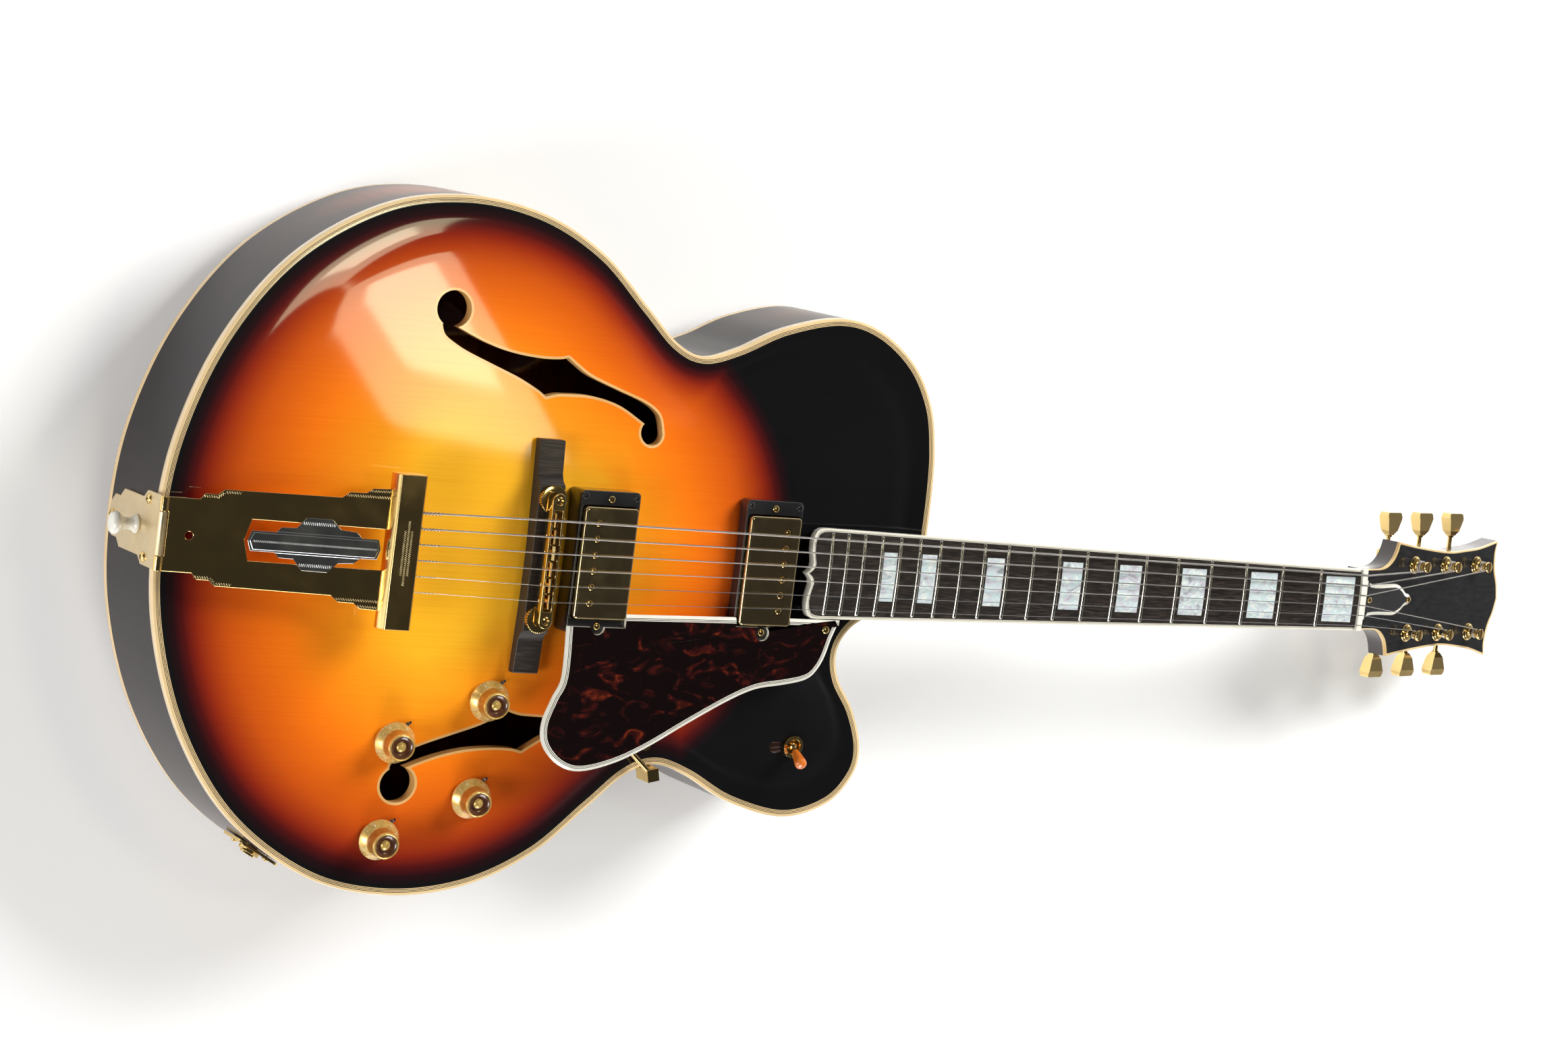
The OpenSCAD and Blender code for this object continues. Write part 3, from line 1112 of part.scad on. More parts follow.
button_face = [[0, 2.6], [3.5, 5.6], [13, 8.6], [15.2, 8.4], [16.5, 7.4]];
button_side = [[0, 2.2], [3.5, 3.6], [12, 4.4], [16.5, 3.4]];
module button(i) color("gold") at_post(i) translate([worm_x, 0, -head_t + gear_z]) {
  start = head_w / 2 + button_gap - post_y;
  rotate([-90 * post_side(i), 0, 0]) {
    translate([0, 0, -6.3]) cylinder(r = worm_r, h = 12.6);
    cylinder(r = stem_r, h = start + 2);
    translate([0, 0, start - 1.2]) cylinder(r = 2.6, h = 1.4);
  }
  intersection() {
    translate([0, 0, -10]) linear_extrude(20) scale([1, post_side(i)]) translate([0, start]) rotate(90)
      both_sides(button_face);
    rotate([90, 0, 90]) translate([0, 0, -12]) linear_extrude(24) scale([post_side(i), 1])
      translate([start, 0]) both_sides(button_side);
  }
}
module tuner_button_1() button(0);
module tuner_button_2() button(1);
module tuner_button_3() button(2);
module tuner_button_4() button(3);
module tuner_button_5() button(4);
module tuner_button_6() button(5);

// Strings: each is one tube from the crossbar over the saddle and the nut, wound on its post
wind_turns = 2.5;
wind_steps = 24;
wind_top = 8.2;
tube_sides = 6;
function wind_r(i) = post_waist + 0.15 + string_r[i];
function wind_pitch(i) = 2 * string_r[i] + 0.45;
function wind_start(i) = let (side = post_side(i), lift = post_x(i))
  atan((post_y - wind_r(i) - side * fan(nut_spread, i)) / lift);
function wind_point(i, k) =
  let (turn = -90 + wind_start(i) + 360 * k / wind_steps, side = post_side(i))
    head_point([
      post_x(i) + wind_r(i) * cos(turn), side * (post_y + wind_r(i) * sin(turn)),
      wind_top - string_r[i] - wind_pitch(i) * k / wind_steps
    ]);
function winding(i) = [for (k = [0:wind_turns * wind_steps]) wind_point(i, k)];
function string_route(i) =
  let (w = winding(i), last = len(w) - 1)
    concat(
      [
        [bridge_x + tail_string_x, fan(tail_spread, i), top_z + tail_string_h],
        [bridge_x + saddle_set[i], fan(bridge_spread, i), top_z + saddle_h(i)],
        neck_point([nut_t + 0.1, fan(nut_spread, i), nut_action - camber(fan(nut_spread, i))])
      ],
      w, [w[last] + unit(w[last] - w[last - 1]) * 2 * string_r[i]]
    );
function tube_ring(p, along, r) =
  let (side = unit(cross(along, [0, 0, 1])), up = cross(side, along))
    [for (k = [0:tube_sides - 1]) p + r * (cos(360 * k / tube_sides) * side
      + sin(360 * k / tube_sides) * up)];
module tube(route, r) {
  last = len(route) - 1;
  loft([for (i = [0:last])
    tube_ring(route[i], unit(route[min(i + 1, last)] - route[max(i - 1, 0)]), r)]);
}
module strings() color("silver") for (i = [0:5]) tube(string_route(i), string_r[i]);

// Least gap of a wound string to itself, over points at least half a loop apart
function least_gap(i) = let (w = winding(i), half = wind_steps / 2)
  min([for (a = [0:len(w) - 1 - half], b = [a + half:len(w) - 1]) norm(w[a] - w[b])])
  - 2 * string_r[i];
echo(least_gap_of_windings = [for (i = [0:5]) least_gap(i)]);

top_plate();
back_plate();
rim();
top_binding();
back_binding();
blocks_and_linings();
tone_bars();
f_hole_binding();
neck();
heel_cap();
headstock_veneer();
neck_binding();
fretboard();
frets();
inlays();
nut();
truss_rod();
truss_rod_cover();
screws();
tailpiece_plate();
tailpiece_crossbar();
tailpiece_insert();
tail_bracket();
strap_button();
bridge_base();
bridge_studs();
thumbwheel_bass();
thumbwheel_treble();
bridge_body();
bridge_saddles();
pickup_rings();
pickup_covers();
pickup_coils();
pole_screws();
pickguard();
pickguard_bracket();
strings();
tuner_housings();
tuner_bushings();
tuner_post_1();
tuner_post_2();
tuner_post_3();
tuner_post_4();
tuner_post_5();
tuner_post_6();
tuner_button_1();
tuner_button_2();
tuner_button_3();
tuner_button_4();
tuner_button_5();
tuner_button_6();
knob_1();
knob_2();
knob_3();
knob_4();
pots();
switch_body();
switch_lever();
jack_plate();
pickguard_block();
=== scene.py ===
import math

import bmesh
import bpy
import numpy as np
from mathutils import Matrix, Vector


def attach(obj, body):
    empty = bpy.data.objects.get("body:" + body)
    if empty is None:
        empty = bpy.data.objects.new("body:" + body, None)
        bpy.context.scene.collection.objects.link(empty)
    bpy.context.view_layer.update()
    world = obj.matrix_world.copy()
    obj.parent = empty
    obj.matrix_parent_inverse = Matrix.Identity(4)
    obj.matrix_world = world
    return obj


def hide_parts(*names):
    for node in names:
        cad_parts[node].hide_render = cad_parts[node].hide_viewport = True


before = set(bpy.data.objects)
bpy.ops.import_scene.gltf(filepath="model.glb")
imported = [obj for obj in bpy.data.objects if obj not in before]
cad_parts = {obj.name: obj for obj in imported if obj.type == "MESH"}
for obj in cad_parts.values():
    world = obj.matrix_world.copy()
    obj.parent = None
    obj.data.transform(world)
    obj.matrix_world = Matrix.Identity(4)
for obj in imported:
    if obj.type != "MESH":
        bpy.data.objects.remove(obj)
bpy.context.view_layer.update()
bpy.ops.object.select_all(action="DESELECT")

# The studio: a view from above the tail, a pale floor that the guitar lies on, and soft light.
# The key light stands where the photograph's bright patch on the top mirrors it.
scene = bpy.context.scene
scene.view_settings.view_transform = "Standard"

camera_data = bpy.data.cameras.new("camera")
camera = bpy.data.objects.new("camera", camera_data)
scene.collection.objects.link(camera)
scene.camera = camera
camera_right = Vector((0.8428, 0.1249, 0.5236)).normalized()
camera_back = -Vector((0.5314, -0.0384, -0.8462)).normalized()
camera_up = camera_back.cross(camera_right).normalized()
camera_right = camera_up.cross(camera_back)
camera_turn = Matrix((camera_right, camera_up, camera_back)).transposed().to_4x4()
camera.matrix_world = Matrix.Translation((-1.4278, 0.3016, 2.4518)) @ camera_turn
camera_data.sensor_width = 36
camera_data.lens = 96.42
camera_data.shift_x = -0.14186
camera_data.shift_y = -0.15583

bpy.ops.mesh.primitive_plane_add(size=14, location=(0, 0, 0))
floor = bpy.context.object
floor.name = "studio_floor"
floor_paint = bpy.data.materials.new("floor_paint")
floor_paint.use_nodes = True
floor_shader = floor_paint.node_tree.nodes["Principled BSDF"]
floor_shader.inputs["Base Color"].default_value = (0.97, 0.97, 0.97, 1)
floor_shader.inputs["Roughness"].default_value = 0.7
floor_nodes = floor_paint.node_tree.nodes
ray = floor_nodes.new("ShaderNodeLightPath")
seen = ray.outputs["Is Camera Ray"]
for kind in ("Is Glossy Ray", "Is Transmission Ray"):
    either = floor_nodes.new("ShaderNodeMath")
    either.operation = "MAXIMUM"
    floor_paint.node_tree.links.new(seen, either.inputs[0])
    floor_paint.node_tree.links.new(ray.outputs[kind], either.inputs[1])
    seen = either.outputs[0]
glow = floor_nodes.new("ShaderNodeMath")
glow.operation = "MULTIPLY"
glow.inputs[1].default_value = 0.12
floor_paint.node_tree.links.new(seen, glow.inputs[0])
floor_shader.inputs["Emission Color"].default_value = (1, 1, 1, 1)
floor_paint.node_tree.links.new(glow.outputs[0], floor_shader.inputs["Emission Strength"])
floor.data.materials.append(floor_paint)


def soft_light(name, place, aim, size, watts, colour=(1, 1, 1)):
    """Square studio light that looks from its place at a point."""
    data = bpy.data.lights.new(name, "AREA")
    data.size = size
    data.energy = watts
    data.color = colour
    light = bpy.data.objects.new(name, data)
    scene.collection.objects.link(light)
    light.location = place
    light.rotation_euler = (Vector(aim) - Vector(place)).to_track_quat("-Z", "Y").to_euler()
    return light


soft_light("key_light", (0.27, 0.25, 1.90), (-0.30, 0.05, 0.10), 0.17, 0.8, (1, 0.93, 0.66))
soft_light("key_glow", (0.27, 0.25, 1.92), (-0.30, 0.05, 0.10), 0.32, 2.0, (1, 0.92, 0.60))
soft_light("tail_light", (-2.6, -0.9, 1.1), (-0.3, 0, 0.05), 1.2, 44)
head_light = soft_light("head_light", (1.9, 1.9, 1.8), (0.1, 0, 0.05), 1.6, 150)
head_light.visible_glossy = False
soft_light("treble_light", (0.1, -2.6, 1.2), (0, 0, 0.05), 1.4, 40)

world = bpy.data.worlds.new("studio")
scene.world = world
world.use_nodes = True
sky = world.node_tree.nodes
sky_links = world.node_tree.links
sky_place = sky.new("ShaderNodeTexCoord")
sky_split = sky.new("ShaderNodeSeparateXYZ")
sky_ramp = sky.new("ShaderNodeValToRGB")
sky_links.new(sky_place.outputs["Generated"], sky_split.inputs[0])
sky_links.new(sky_split.outputs["Z"], sky_ramp.inputs["Fac"])
sky_links.new(sky_ramp.outputs["Color"], sky["Background"].inputs["Color"])
sky_ramp.color_ramp.elements[0].position = 0.04
sky_ramp.color_ramp.elements[0].color = (0.7, 0.7, 0.7, 1)
sky_ramp.color_ramp.elements.new(0.24).color = (0.2, 0.2, 0.2, 1)
sky_ramp.color_ramp.elements[2].position = 0.8
sky_ramp.color_ramp.elements[2].color = (0.035, 0.035, 0.035, 1)
sky["Background"].inputs["Strength"].default_value = 1.0

# The soundboard: a spruce plate, carved to an arch with a shallow hollow round its edge, and
# cut through for two f-holes, two pickups and five controls. Its grain runs along the body.
# It is sprayed clear yellow, then red and black towards the edge, and polished.
NUT_X, NUT_Z = 368.497, 105.202
JOINT_X, BRIDGE_X, TAIL_X = 9.807, -278.315, -520.193
TOP_Z, BACK_Z = 104.0, 18.0
BODY_LENGTH = 530.0
half_widths = {"lower": 217.0, "waist": 131.0, "upper": 163.0}
lower_shares = [
    (0.011, 0.267), (0.053, 0.548), (0.125, 0.788), (0.226, 0.949),
    (0.326, 1), (0.425, 0.972), (0.510, 0.876), (0.577, 0.733),
]
waist_shares = [(0.622, 1.053), (0.660, 1), (0.705, 1.053)]
bass_shares = [
    (0.766, 0.942), (0.840, 1), (0.898, 0.966), (0.951, 0.847),
    (0.983, 0.687), (0.996, 0.515), (1, 0.343), (1, 0.14),
]
cutaway_shares = [
    (0.766, 0.945), (0.843, 1), (0.904, 0.942), (0.936, 0.825), (0.941, 0.706), (0.9245, 0.561),
    (0.899, 0.439), (0.8917, 0.337), (0.902, 0.2515), (0.9245, 0.193), (0.962, 0.16), (0.99, 0.1),
]


def edge_points(shares, bout, side):
    """Places on the body's edge, in mm, from shares of its length and of a bout's half width."""
    return [(TAIL_X + a * BODY_LENGTH, side * b * half_widths[bout]) for a, b in shares]


def smooth_loop(points, steps):
    """Closed smooth curve through points, anticlockwise, as an array."""
    p = np.array(points, float)
    before, after, next_but_one = np.roll(p, 1, 0), np.roll(p, -1, 0), np.roll(p, -2, 0)
    rows = []
    for k in range(steps):
        t = k / steps
        rows.append(
            0.5
            * (
                2 * p
                + (after - before) * t
                + (2 * before - 5 * p + 4 * after - next_but_one) * t * t
                + (3 * p - before - 3 * after + next_but_one) * t**3
            )
        )
    return np.stack(rows, 1).reshape(-1, 2)


def moved_in(loop, gap):
    """The same closed curve moved inwards by a gap."""
    along = np.roll(loop, -1, 0) - np.roll(loop, 1, 0)
    along /= np.linalg.norm(along, axis=1)[:, None]
    return loop + gap * np.stack([-along[:, 1], along[:, 0]], 1)


body_edge = smooth_loop(
    [(TAIL_X, 0)]
    + edge_points(lower_shares, "lower", -1)
    + edge_points(waist_shares, "waist", -1)
    + edge_points(cutaway_shares, "upper", -1)
    + [(JOINT_X, 0)]
    + edge_points(bass_shares, "upper", 1)[::-1]
    + edge_points(waist_shares, "waist", 1)[::-1]
    + edge_points(lower_shares, "lower", 1)[::-1],
    12,
)
BINDING_WIDTH = 5.0
plate_edge = moved_in(body_edge, BINDING_WIDTH)
plate_centre = np.array([TAIL_X + 0.6255 * BODY_LENGTH, 0.0])
PLATE_EDGE_T, PLATE_MIDDLE_T = 6.5, 5.5
ARCH, HOLLOW = 18.0, 0.8


def outer_height(share):
    rise = 0.5 - 0.5 * math.cos(math.pi * max(0, 1 - share) ** 0.8)
    dip = HOLLOW * math.sin(math.pi * (1 - share) / 0.12) if 0.88 < share < 1 else 0
    return ARCH * rise - dip


def inner_height(share):
    rise = 0.5 - 0.5 * math.cos(math.pi * max(0, 1 - share / 0.93) ** 0.8)
    return (ARCH + PLATE_EDGE_T - PLATE_MIDDLE_T) * rise - PLATE_EDGE_T


def plate_ring(share):
    """One ring of the carved plate: the outline near the edge, turning oval near the middle."""
    v = plate_edge - plate_centre
    reach = np.where(v[:, 0] < 0, 315.0, 195.0)
    oval = 1 / np.hypot(v[:, 0] / reach, v[:, 1] / 175.0)
    t = min(1, max(0, (share - 0.25) / 0.6))
    like_edge = t * t * (3 - 2 * t)
    return plate_centre + v * share * (like_edge + (1 - like_edge) * oval[:, None])


def add_mesh(name, points, faces):
    """New piece from points in mm and faces, at the origin."""
    mesh = bpy.data.meshes.new(name)
    mesh.from_pydata([tuple(0.001 * c for c in p) for p in points], [], faces)
    mesh.update()
    piece = bpy.data.objects.new(name, mesh)
    scene.collection.objects.link(piece)
    return piece


outer_steps = [
    1, 0.988, 0.975, 0.962, 0.948, 0.934, 0.92, 0.905, 0.89, 0.872, 0.85, 0.825, 0.795, 0.76,
    0.72, 0.675, 0.625, 0.57, 0.51, 0.45, 0.385, 0.32, 0.25, 0.18, 0.11, 0.05,
]
inner_steps = [0.08, 0.25, 0.45, 0.62, 0.76, 0.86, 0.93, 1]


def carved_plate(name, edge_z, up):
    """Closed carved plate: rings shrink to the middle outside and grow back to the edge inside."""
    count = len(plate_edge)
    points = []
    for step in outer_steps:
        points += [(x, y, edge_z + up * outer_height(step)) for x, y in plate_ring(step)]
    for step in inner_steps:
        points += [(x, y, edge_z + up * inner_height(step)) for x, y in plate_ring(step)]
    rings = len(outer_steps) + len(inner_steps)
    crown, hollow = len(points), len(points) + 1
    points += [(*plate_centre, edge_z + up * outer_height(0))]
    points += [(*plate_centre, edge_z + up * inner_height(0))]
    faces = []
    for ring in range(rings):
        if ring == len(outer_steps) - 1:
            for k in range(count):
                n = (k + 1) % count
                faces.append((ring * count + k, ring * count + n, crown))
                faces.append(((ring + 1) * count + n, (ring + 1) * count + k, hollow))
            continue
        below = (ring + 1) % rings
        for k in range(count):
            n = (k + 1) % count
            faces.append((ring * count + k, ring * count + n, below * count + n, below * count + k))
    if up < 0:
        faces = [face[::-1] for face in faces]
    return add_mesh(name, points, faces)


def prism(name, loop, z0, z1):
    """Upright prism over a closed anticlockwise loop, in mm."""
    count = len(loop)
    points = [(x, y, z0) for x, y in loop] + [(x, y, z1) for x, y in loop]
    faces = [tuple(range(count))[::-1], tuple(range(count, 2 * count))]
    faces += [(k, (k + 1) % count, count + (k + 1) % count, count + k) for k in range(count)]
    return add_mesh(name, points, faces)


def shape_with(piece, tool, operation):
    """Cuts, joins or trims a piece by another one, and clears that away."""
    bpy.ops.object.select_all(action="DESELECT")
    bpy.context.view_layer.objects.active = piece
    step = piece.modifiers.new("shape", "BOOLEAN")
    step.operation = operation
    step.solver = "MANIFOLD"
    step.object = tool
    bpy.ops.object.modifier_apply(modifier="shape")
    bpy.data.objects.remove(tool)


def smooth_line(points, steps):
    """Open smooth curve through points, ends included."""
    p = [np.array(q, float) for q in points]
    out = []
    for i in range(len(p) - 1):
        a, b, c, d = p[max(i - 1, 0)], p[i], p[i + 1], p[min(i + 2, len(p) - 1)]
        for k in range(steps):
            t = k / steps
            out.append(
                0.5 * (2 * b + (c - a) * t + (2 * a - 5 * b + 4 * c - d) * t * t)
                + 0.5 * (3 * b - a - 3 * c + d) * t**3
            )
    return out + [p[-1]]


def circle(x, y, radius, count):
    turns = [2 * math.pi * k / count for k in range(count)]
    return [(x + radius * math.cos(a), y + radius * math.sin(a)) for a in turns]


f_upper = [(-66.5, 136.2), (-48.5, 128.8), (-30.4, 123.9), (-11.6, 121.8), (2, 122), (9, 123.4)]
f_right = [
    (9, 123.4), (16, 118.5), (26.1, 112.6), (46, 105.6), (65.5, 99), (75.5, 92.5), (78.2, 84)
]
f_left = [
    (-77.2, 137.6), (-74.5, 131), (-65.9, 125.4), (-56.5, 121.1), (-38.6, 114.4), (-23.2, 108.6),
    (-10, 102.1), (-4.6, 98.4),
]
f_lower = [(-4.6, 98.4), (2.5, 100.4), (8.8, 101), (27, 101), (46.6, 96.5), (64.8, 86.6)]


def f_hole_tool(name, side, grow, z0, z1):
    """Cutter in the shape of one f-hole, with its edge moved outwards by grow."""
    loop = smooth_line(f_upper, 6)[:-1] + smooth_line(f_right, 6)
    loop += smooth_line(f_lower, 6)[::-1] + smooth_line(f_left, 6)[::-1][1:]
    loop = moved_in(np.array(loop), grow)
    loop[:, 0] += BRIDGE_X
    loop = loop[::-1]
    eyes = [(-70.2, 147.1, 11.4), (70.7, 81, 7.8)]
    shapes = [loop] + [
        np.array(circle(BRIDGE_X + x, y, radius + grow, 64)) for x, y, radius in eyes
    ]
    tools = []
    for k, shape in enumerate(shapes):
        if side < 0:
            shape = (shape * (1, -1))[::-1]
        tools.append(prism(name + str(k), shape, z0 - 0.1 * k, z1 + 0.1 * k))
    shape_with(tools[0], tools[1], "UNION")
    shape_with(tools[0], tools[2], "UNION")
    return tools[0]


def box_tool(name, x0, x1, y0, y1, z0, z1):
    return prism(name, [(x0, y0), (x1, y0), (x1, y1), (x0, y1)], z0, z1)


top = carved_plate("soundboard", TOP_Z, 1)
F_BINDING_WIDTH = 1.6
for side in (1, -1):
    shape_with(top, f_hole_tool("f_cut", side, F_BINDING_WIDTH, 90, 130), "DIFFERENCE")
pickup_x = (BRIDGE_X + 38.7, BRIDGE_X + 159.0)
for x in pickup_x:
    shape_with(top, box_tool("pickup_cut", x - 20.2, x + 20.2, -36.2, 36.2, 90, 130), "DIFFERENCE")
    shape_with(top, box_tool("ear_cut", x - 4.5, x + 4.5, -43.8, 43.8, 90, 130), "DIFFERENCE")
control_places = [
    (-354.815, -120.5, 109.809, 0.04244, 0.06026),
    (-355.815, -181.5, 105.558, 0.01862, 0.10519),
    (-296.815, -92.0, 113.940, 0.03415, 0.07331),
    (-298.815, -154.0, 108.644, 0.00086, 0.09827),
    (-74.815, -115.5, 107.615, -0.06150, 0.09147),
]
for x, y, *_ in control_places:
    shape_with(top, prism("control_cut", circle(x, y, 4.8, 40), 90, 130), "DIFFERENCE")


def edge_gap(points):
    """Distance in mm from each place to the body's edge."""
    out = np.empty(len(points))
    for start in range(0, len(points), 2000):
        part = points[start : start + 2000]
        gap = part[:, None, :] - body_edge[None, :, :]
        out[start : start + 2000] = np.sqrt((gap**2).sum(2)).min(1)
    return out


def edge_distance(points):
    """How far in mm each place counts from the dark edge, which is narrow at the waist and
    spreads as a fan at the neck."""
    waist = np.exp(-(((points[:, 0] + 200.0) / 90.0) ** 2)) * (1 + np.tanh(points[:, 1] / 40.0)) / 2
    ahead, aside = points[:, 0] - BRIDGE_X - 5.0, np.abs(points[:, 1])
    fan = 184.0 - np.hypot(ahead, aside) + 1.5 * np.maximum(aside - 1.2 * ahead, 0)
    return np.minimum(edge_gap(points) * (1 + 0.45 * waist), np.maximum(fan, 0))


def mark_burst(piece, function):
    """Keeps each vertex's distance from the edge, over 150 mm, for the spray's colours."""
    mesh = piece.data
    places = np.empty(len(mesh.vertices) * 3)
    mesh.vertices.foreach_get("co", places)
    places = places.reshape(-1, 3) * 1000
    burst = mesh.attributes.new("burst", "FLOAT", "POINT")
    burst.data.foreach_set("value", function(places) / 150)


mark_burst(top, lambda places: edge_distance(places[:, :2]))


def new_paint(name, colour, rough, metal=0.0):
    """Plain starting material, with its nodes, links and shader."""
    paint = bpy.data.materials.new(name)
    paint.use_nodes = True
    tree = paint.node_tree
    shader = tree.nodes["Principled BSDF"]
    shader.inputs["Base Color"].default_value = (*colour, 1)
    shader.inputs["Roughness"].default_value = rough
    shader.inputs["Metallic"].default_value = metal
    return paint, tree.nodes, tree.links, shader


def grain(nodes, links, scale, stretch=(1, 1, 1), detail=3.0, distort=0.0):
    """Noise over the piece's own place, stretched along its axes."""
    place = nodes.new("ShaderNodeTexCoord")
    turn = nodes.new("ShaderNodeMapping")
    turn.inputs["Scale"].default_value = stretch
    noise = nodes.new("ShaderNodeTexNoise")
    noise.inputs["Scale"].default_value = scale
    noise.inputs["Detail"].default_value = detail
    noise.inputs["Distortion"].default_value = distort
    links.new(place.outputs["Object"], turn.inputs["Vector"])
    links.new(turn.outputs["Vector"], noise.inputs["Vector"])
    return noise.outputs["Fac"]


def ramp(nodes, links, source, stops, steps="LINEAR"):
    """Colours or greys along a value, from (place, value) pairs."""
    node = nodes.new("ShaderNodeValToRGB")
    node.color_ramp.interpolation = steps
    while len(node.color_ramp.elements) < len(stops):
        node.color_ramp.elements.new(1.0)
    for element, (place, value) in zip(node.color_ramp.elements, stops):
        element.position = place
        element.color = (*value, 1) if isinstance(value, tuple) else (value, value, value, 1)
    links.new(source, node.inputs["Fac"])
    return node.outputs["Color"]


def blended(nodes, links, first, second, share, how="MIX"):
    """Two colours mixed, the share being a number or a value from a node."""
    mix = nodes.new("ShaderNodeMix")
    mix.data_type = "RGBA"
    mix.blend_type = how
    links.new(first, mix.inputs[6])
    links.new(second, mix.inputs[7])
    if isinstance(share, float):
        mix.inputs[0].default_value = share
    else:
        links.new(share, mix.inputs[0])
    return mix.outputs[2]


def bumped(nodes, links, shader, height, strength, depth):
    """Surface relief of a depth in mm from a value."""
    bump = nodes.new("ShaderNodeBump")
    bump.inputs["Strength"].default_value = strength
    bump.inputs["Distance"].default_value = depth / 1000
    links.new(height, bump.inputs["Height"])
    links.new(bump.outputs["Normal"], shader.inputs["Normal"])


def lacquered(name, stops, grain_stops, scale, stretch):
    """Sunburst spray under polished lacquer, over wood grain."""
    paint, nodes, links, shader = new_paint(name, (0.5, 0.2, 0.02), 0.38)
    burst = nodes.new("ShaderNodeAttribute")
    burst.attribute_name = "burst"
    spray = ramp(nodes, links, burst.outputs["Fac"], stops)
    lines = ramp(nodes, links, grain(nodes, links, scale, stretch, 4, 0.4), grain_stops)
    links.new(blended(nodes, links, spray, lines, 1.0, "MULTIPLY"), shader.inputs["Base Color"])
    shader.inputs["Specular IOR Level"].default_value = 0.05
    shader.inputs["Coat Weight"].default_value = 1.0
    shader.inputs["Coat Roughness"].default_value = 0.05
    shader.inputs["Coat IOR"].default_value = 1.52
    return paint


def level_normals(piece):
    """Keeps wide flat faces flat where small rounded edges meet them."""
    bpy.ops.object.select_all(action="DESELECT")
    bpy.context.view_layer.objects.active = piece
    step = piece.modifiers.new("level", "WEIGHTED_NORMAL")
    step.keep_sharp = True
    step.weight = 90
    bpy.ops.object.modifier_apply(modifier="level")


def finish_piece(piece, paint, slot, *nodes, body="root", angle=35):
    """Gives a piece its material, smooth shading and body, and hides the CAD nodes it stands for; the slot is not
    used.
    """
    piece.data.materials.clear()
    piece.data.materials.append(paint)
    bpy.ops.object.select_all(action="DESELECT")
    piece.select_set(True)
    bpy.context.view_layer.objects.active = piece
    bpy.ops.object.shade_smooth_by_angle(angle=math.radians(angle))
    piece.select_set(False)
    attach(piece, body)
    if nodes:
        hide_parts(*nodes)


burst_stops = [
    (0.04, (0.005, 0.005, 0.006)), (0.08, (0.018, 0.004, 0.006)), (0.12, (0.08, 0.006, 0.006)),
    (0.167, (0.242, 0.018, 0.006)), (0.22, (0.402, 0.045, 0.006)), (0.30, (0.597, 0.091, 0.006)),
    (0.40, (0.745, 0.133, 0.006)), (0.533, (0.92, 0.195, 0.0065)), (0.667, (0.97, 0.27, 0.0086)),
    (0.80, (0.98, 0.342, 0.012)), (1.0, (0.99, 0.50, 0.022)),
]
top_paint = lacquered(
    "sunburst_top", burst_stops, [(0.30, (0.96, 0.88, 0.78)), (0.5, (0.99, 0.97, 0.94)), (0.7, (1.0, 1.0, 1.0))], 1.0,
    (10, 1300, 10),
)
finish_piece(top, top_paint, "top", "top_plate", angle=25)

# The back: two book-matched halves of curled maple, carved like the top and sprayed darker.
back = carved_plate("back", BACK_Z, -1)
mark_burst(back, lambda places: edge_distance(places[:, :2]))
back_stops = [
    (0.05, (0.006, 0.003, 0.003)), (0.16, (0.03, 0.006, 0.004)), (0.30, (0.13, 0.022, 0.006)),
    (0.50, (0.30, 0.066, 0.010)), (0.75, (0.46, 0.125, 0.016)), (1.0, (0.56, 0.175, 0.022)),
]
back_paint = lacquered(
    "sunburst_back", back_stops, [(0.32, 0.55), (0.5, 0.9), (0.68, 1.0)], 1.0, (110, 9, 9)
)
finish_piece(back, back_paint, "back", "back_plate", angle=25)


# The sides: strips of curled maple, bent round the body, black where they meet the neck, the
# cutaway and the tail, and brown in the middle of the bouts.
def band(name, section, shade=None):
    """Closed ring round the body from a section of (distance inside the edge, height) in mm."""
    count = len(body_edge)
    points = []
    for gap, z in section:
        points += [(x, y, z) for x, y in moved_in(body_edge, gap)]
    faces = []
    for ring in range(len(section)):
        above = (ring + 1) % len(section)
        for k in range(count):
            n = (k + 1) % count
            faces.append((ring * count + k, ring * count + n, above * count + n, above * count + k))
    return add_mesh(name, points, faces)


SIDE_T = 2.5
side_bottom, side_top = BACK_Z + PLATE_EDGE_T, TOP_Z - PLATE_EDGE_T
side_heights = [side_bottom + (side_top - side_bottom) * k / 10 for k in range(11)]
sides = band(
    "sides", [(0, z) for z in side_heights] + [(SIDE_T, z) for z in side_heights[::-1]]
)


def side_burst(places):
    """Brown in the middle of the lower bouts' depth, and dark towards the waist and the tail."""
    height = np.abs(places[:, 2] - (side_bottom + side_top) / 2) / (side_top - side_bottom) * 2
    along = (places[:, 0] - TAIL_X) / BODY_LENGTH
    bout = np.exp(-(((along - 0.33) / 0.17) ** 2)) + 0.5 * np.exp(-(((along - 0.82) / 0.07) ** 2))
    return 150 * bout * (1 - 0.75 * height**2)


mark_burst(sides, side_burst)
side_paint = lacquered(
    "sunburst_sides",
    [(0.05, (0.007, 0.003, 0.004)), (0.4, (0.035, 0.008, 0.004)), (1.0, (0.30, 0.062, 0.010))],
    [(0.32, 0.6), (0.5, 0.9), (0.68, 1.0)], 1.0, (90, 90, 7),
)
side_shader = side_paint.node_tree.nodes["Principled BSDF"]
side_shader.inputs["Coat Weight"].default_value = 0.5
side_shader.inputs["Coat IOR"].default_value = 1.4
finish_piece(sides, side_paint, "back", "rim", angle=30)

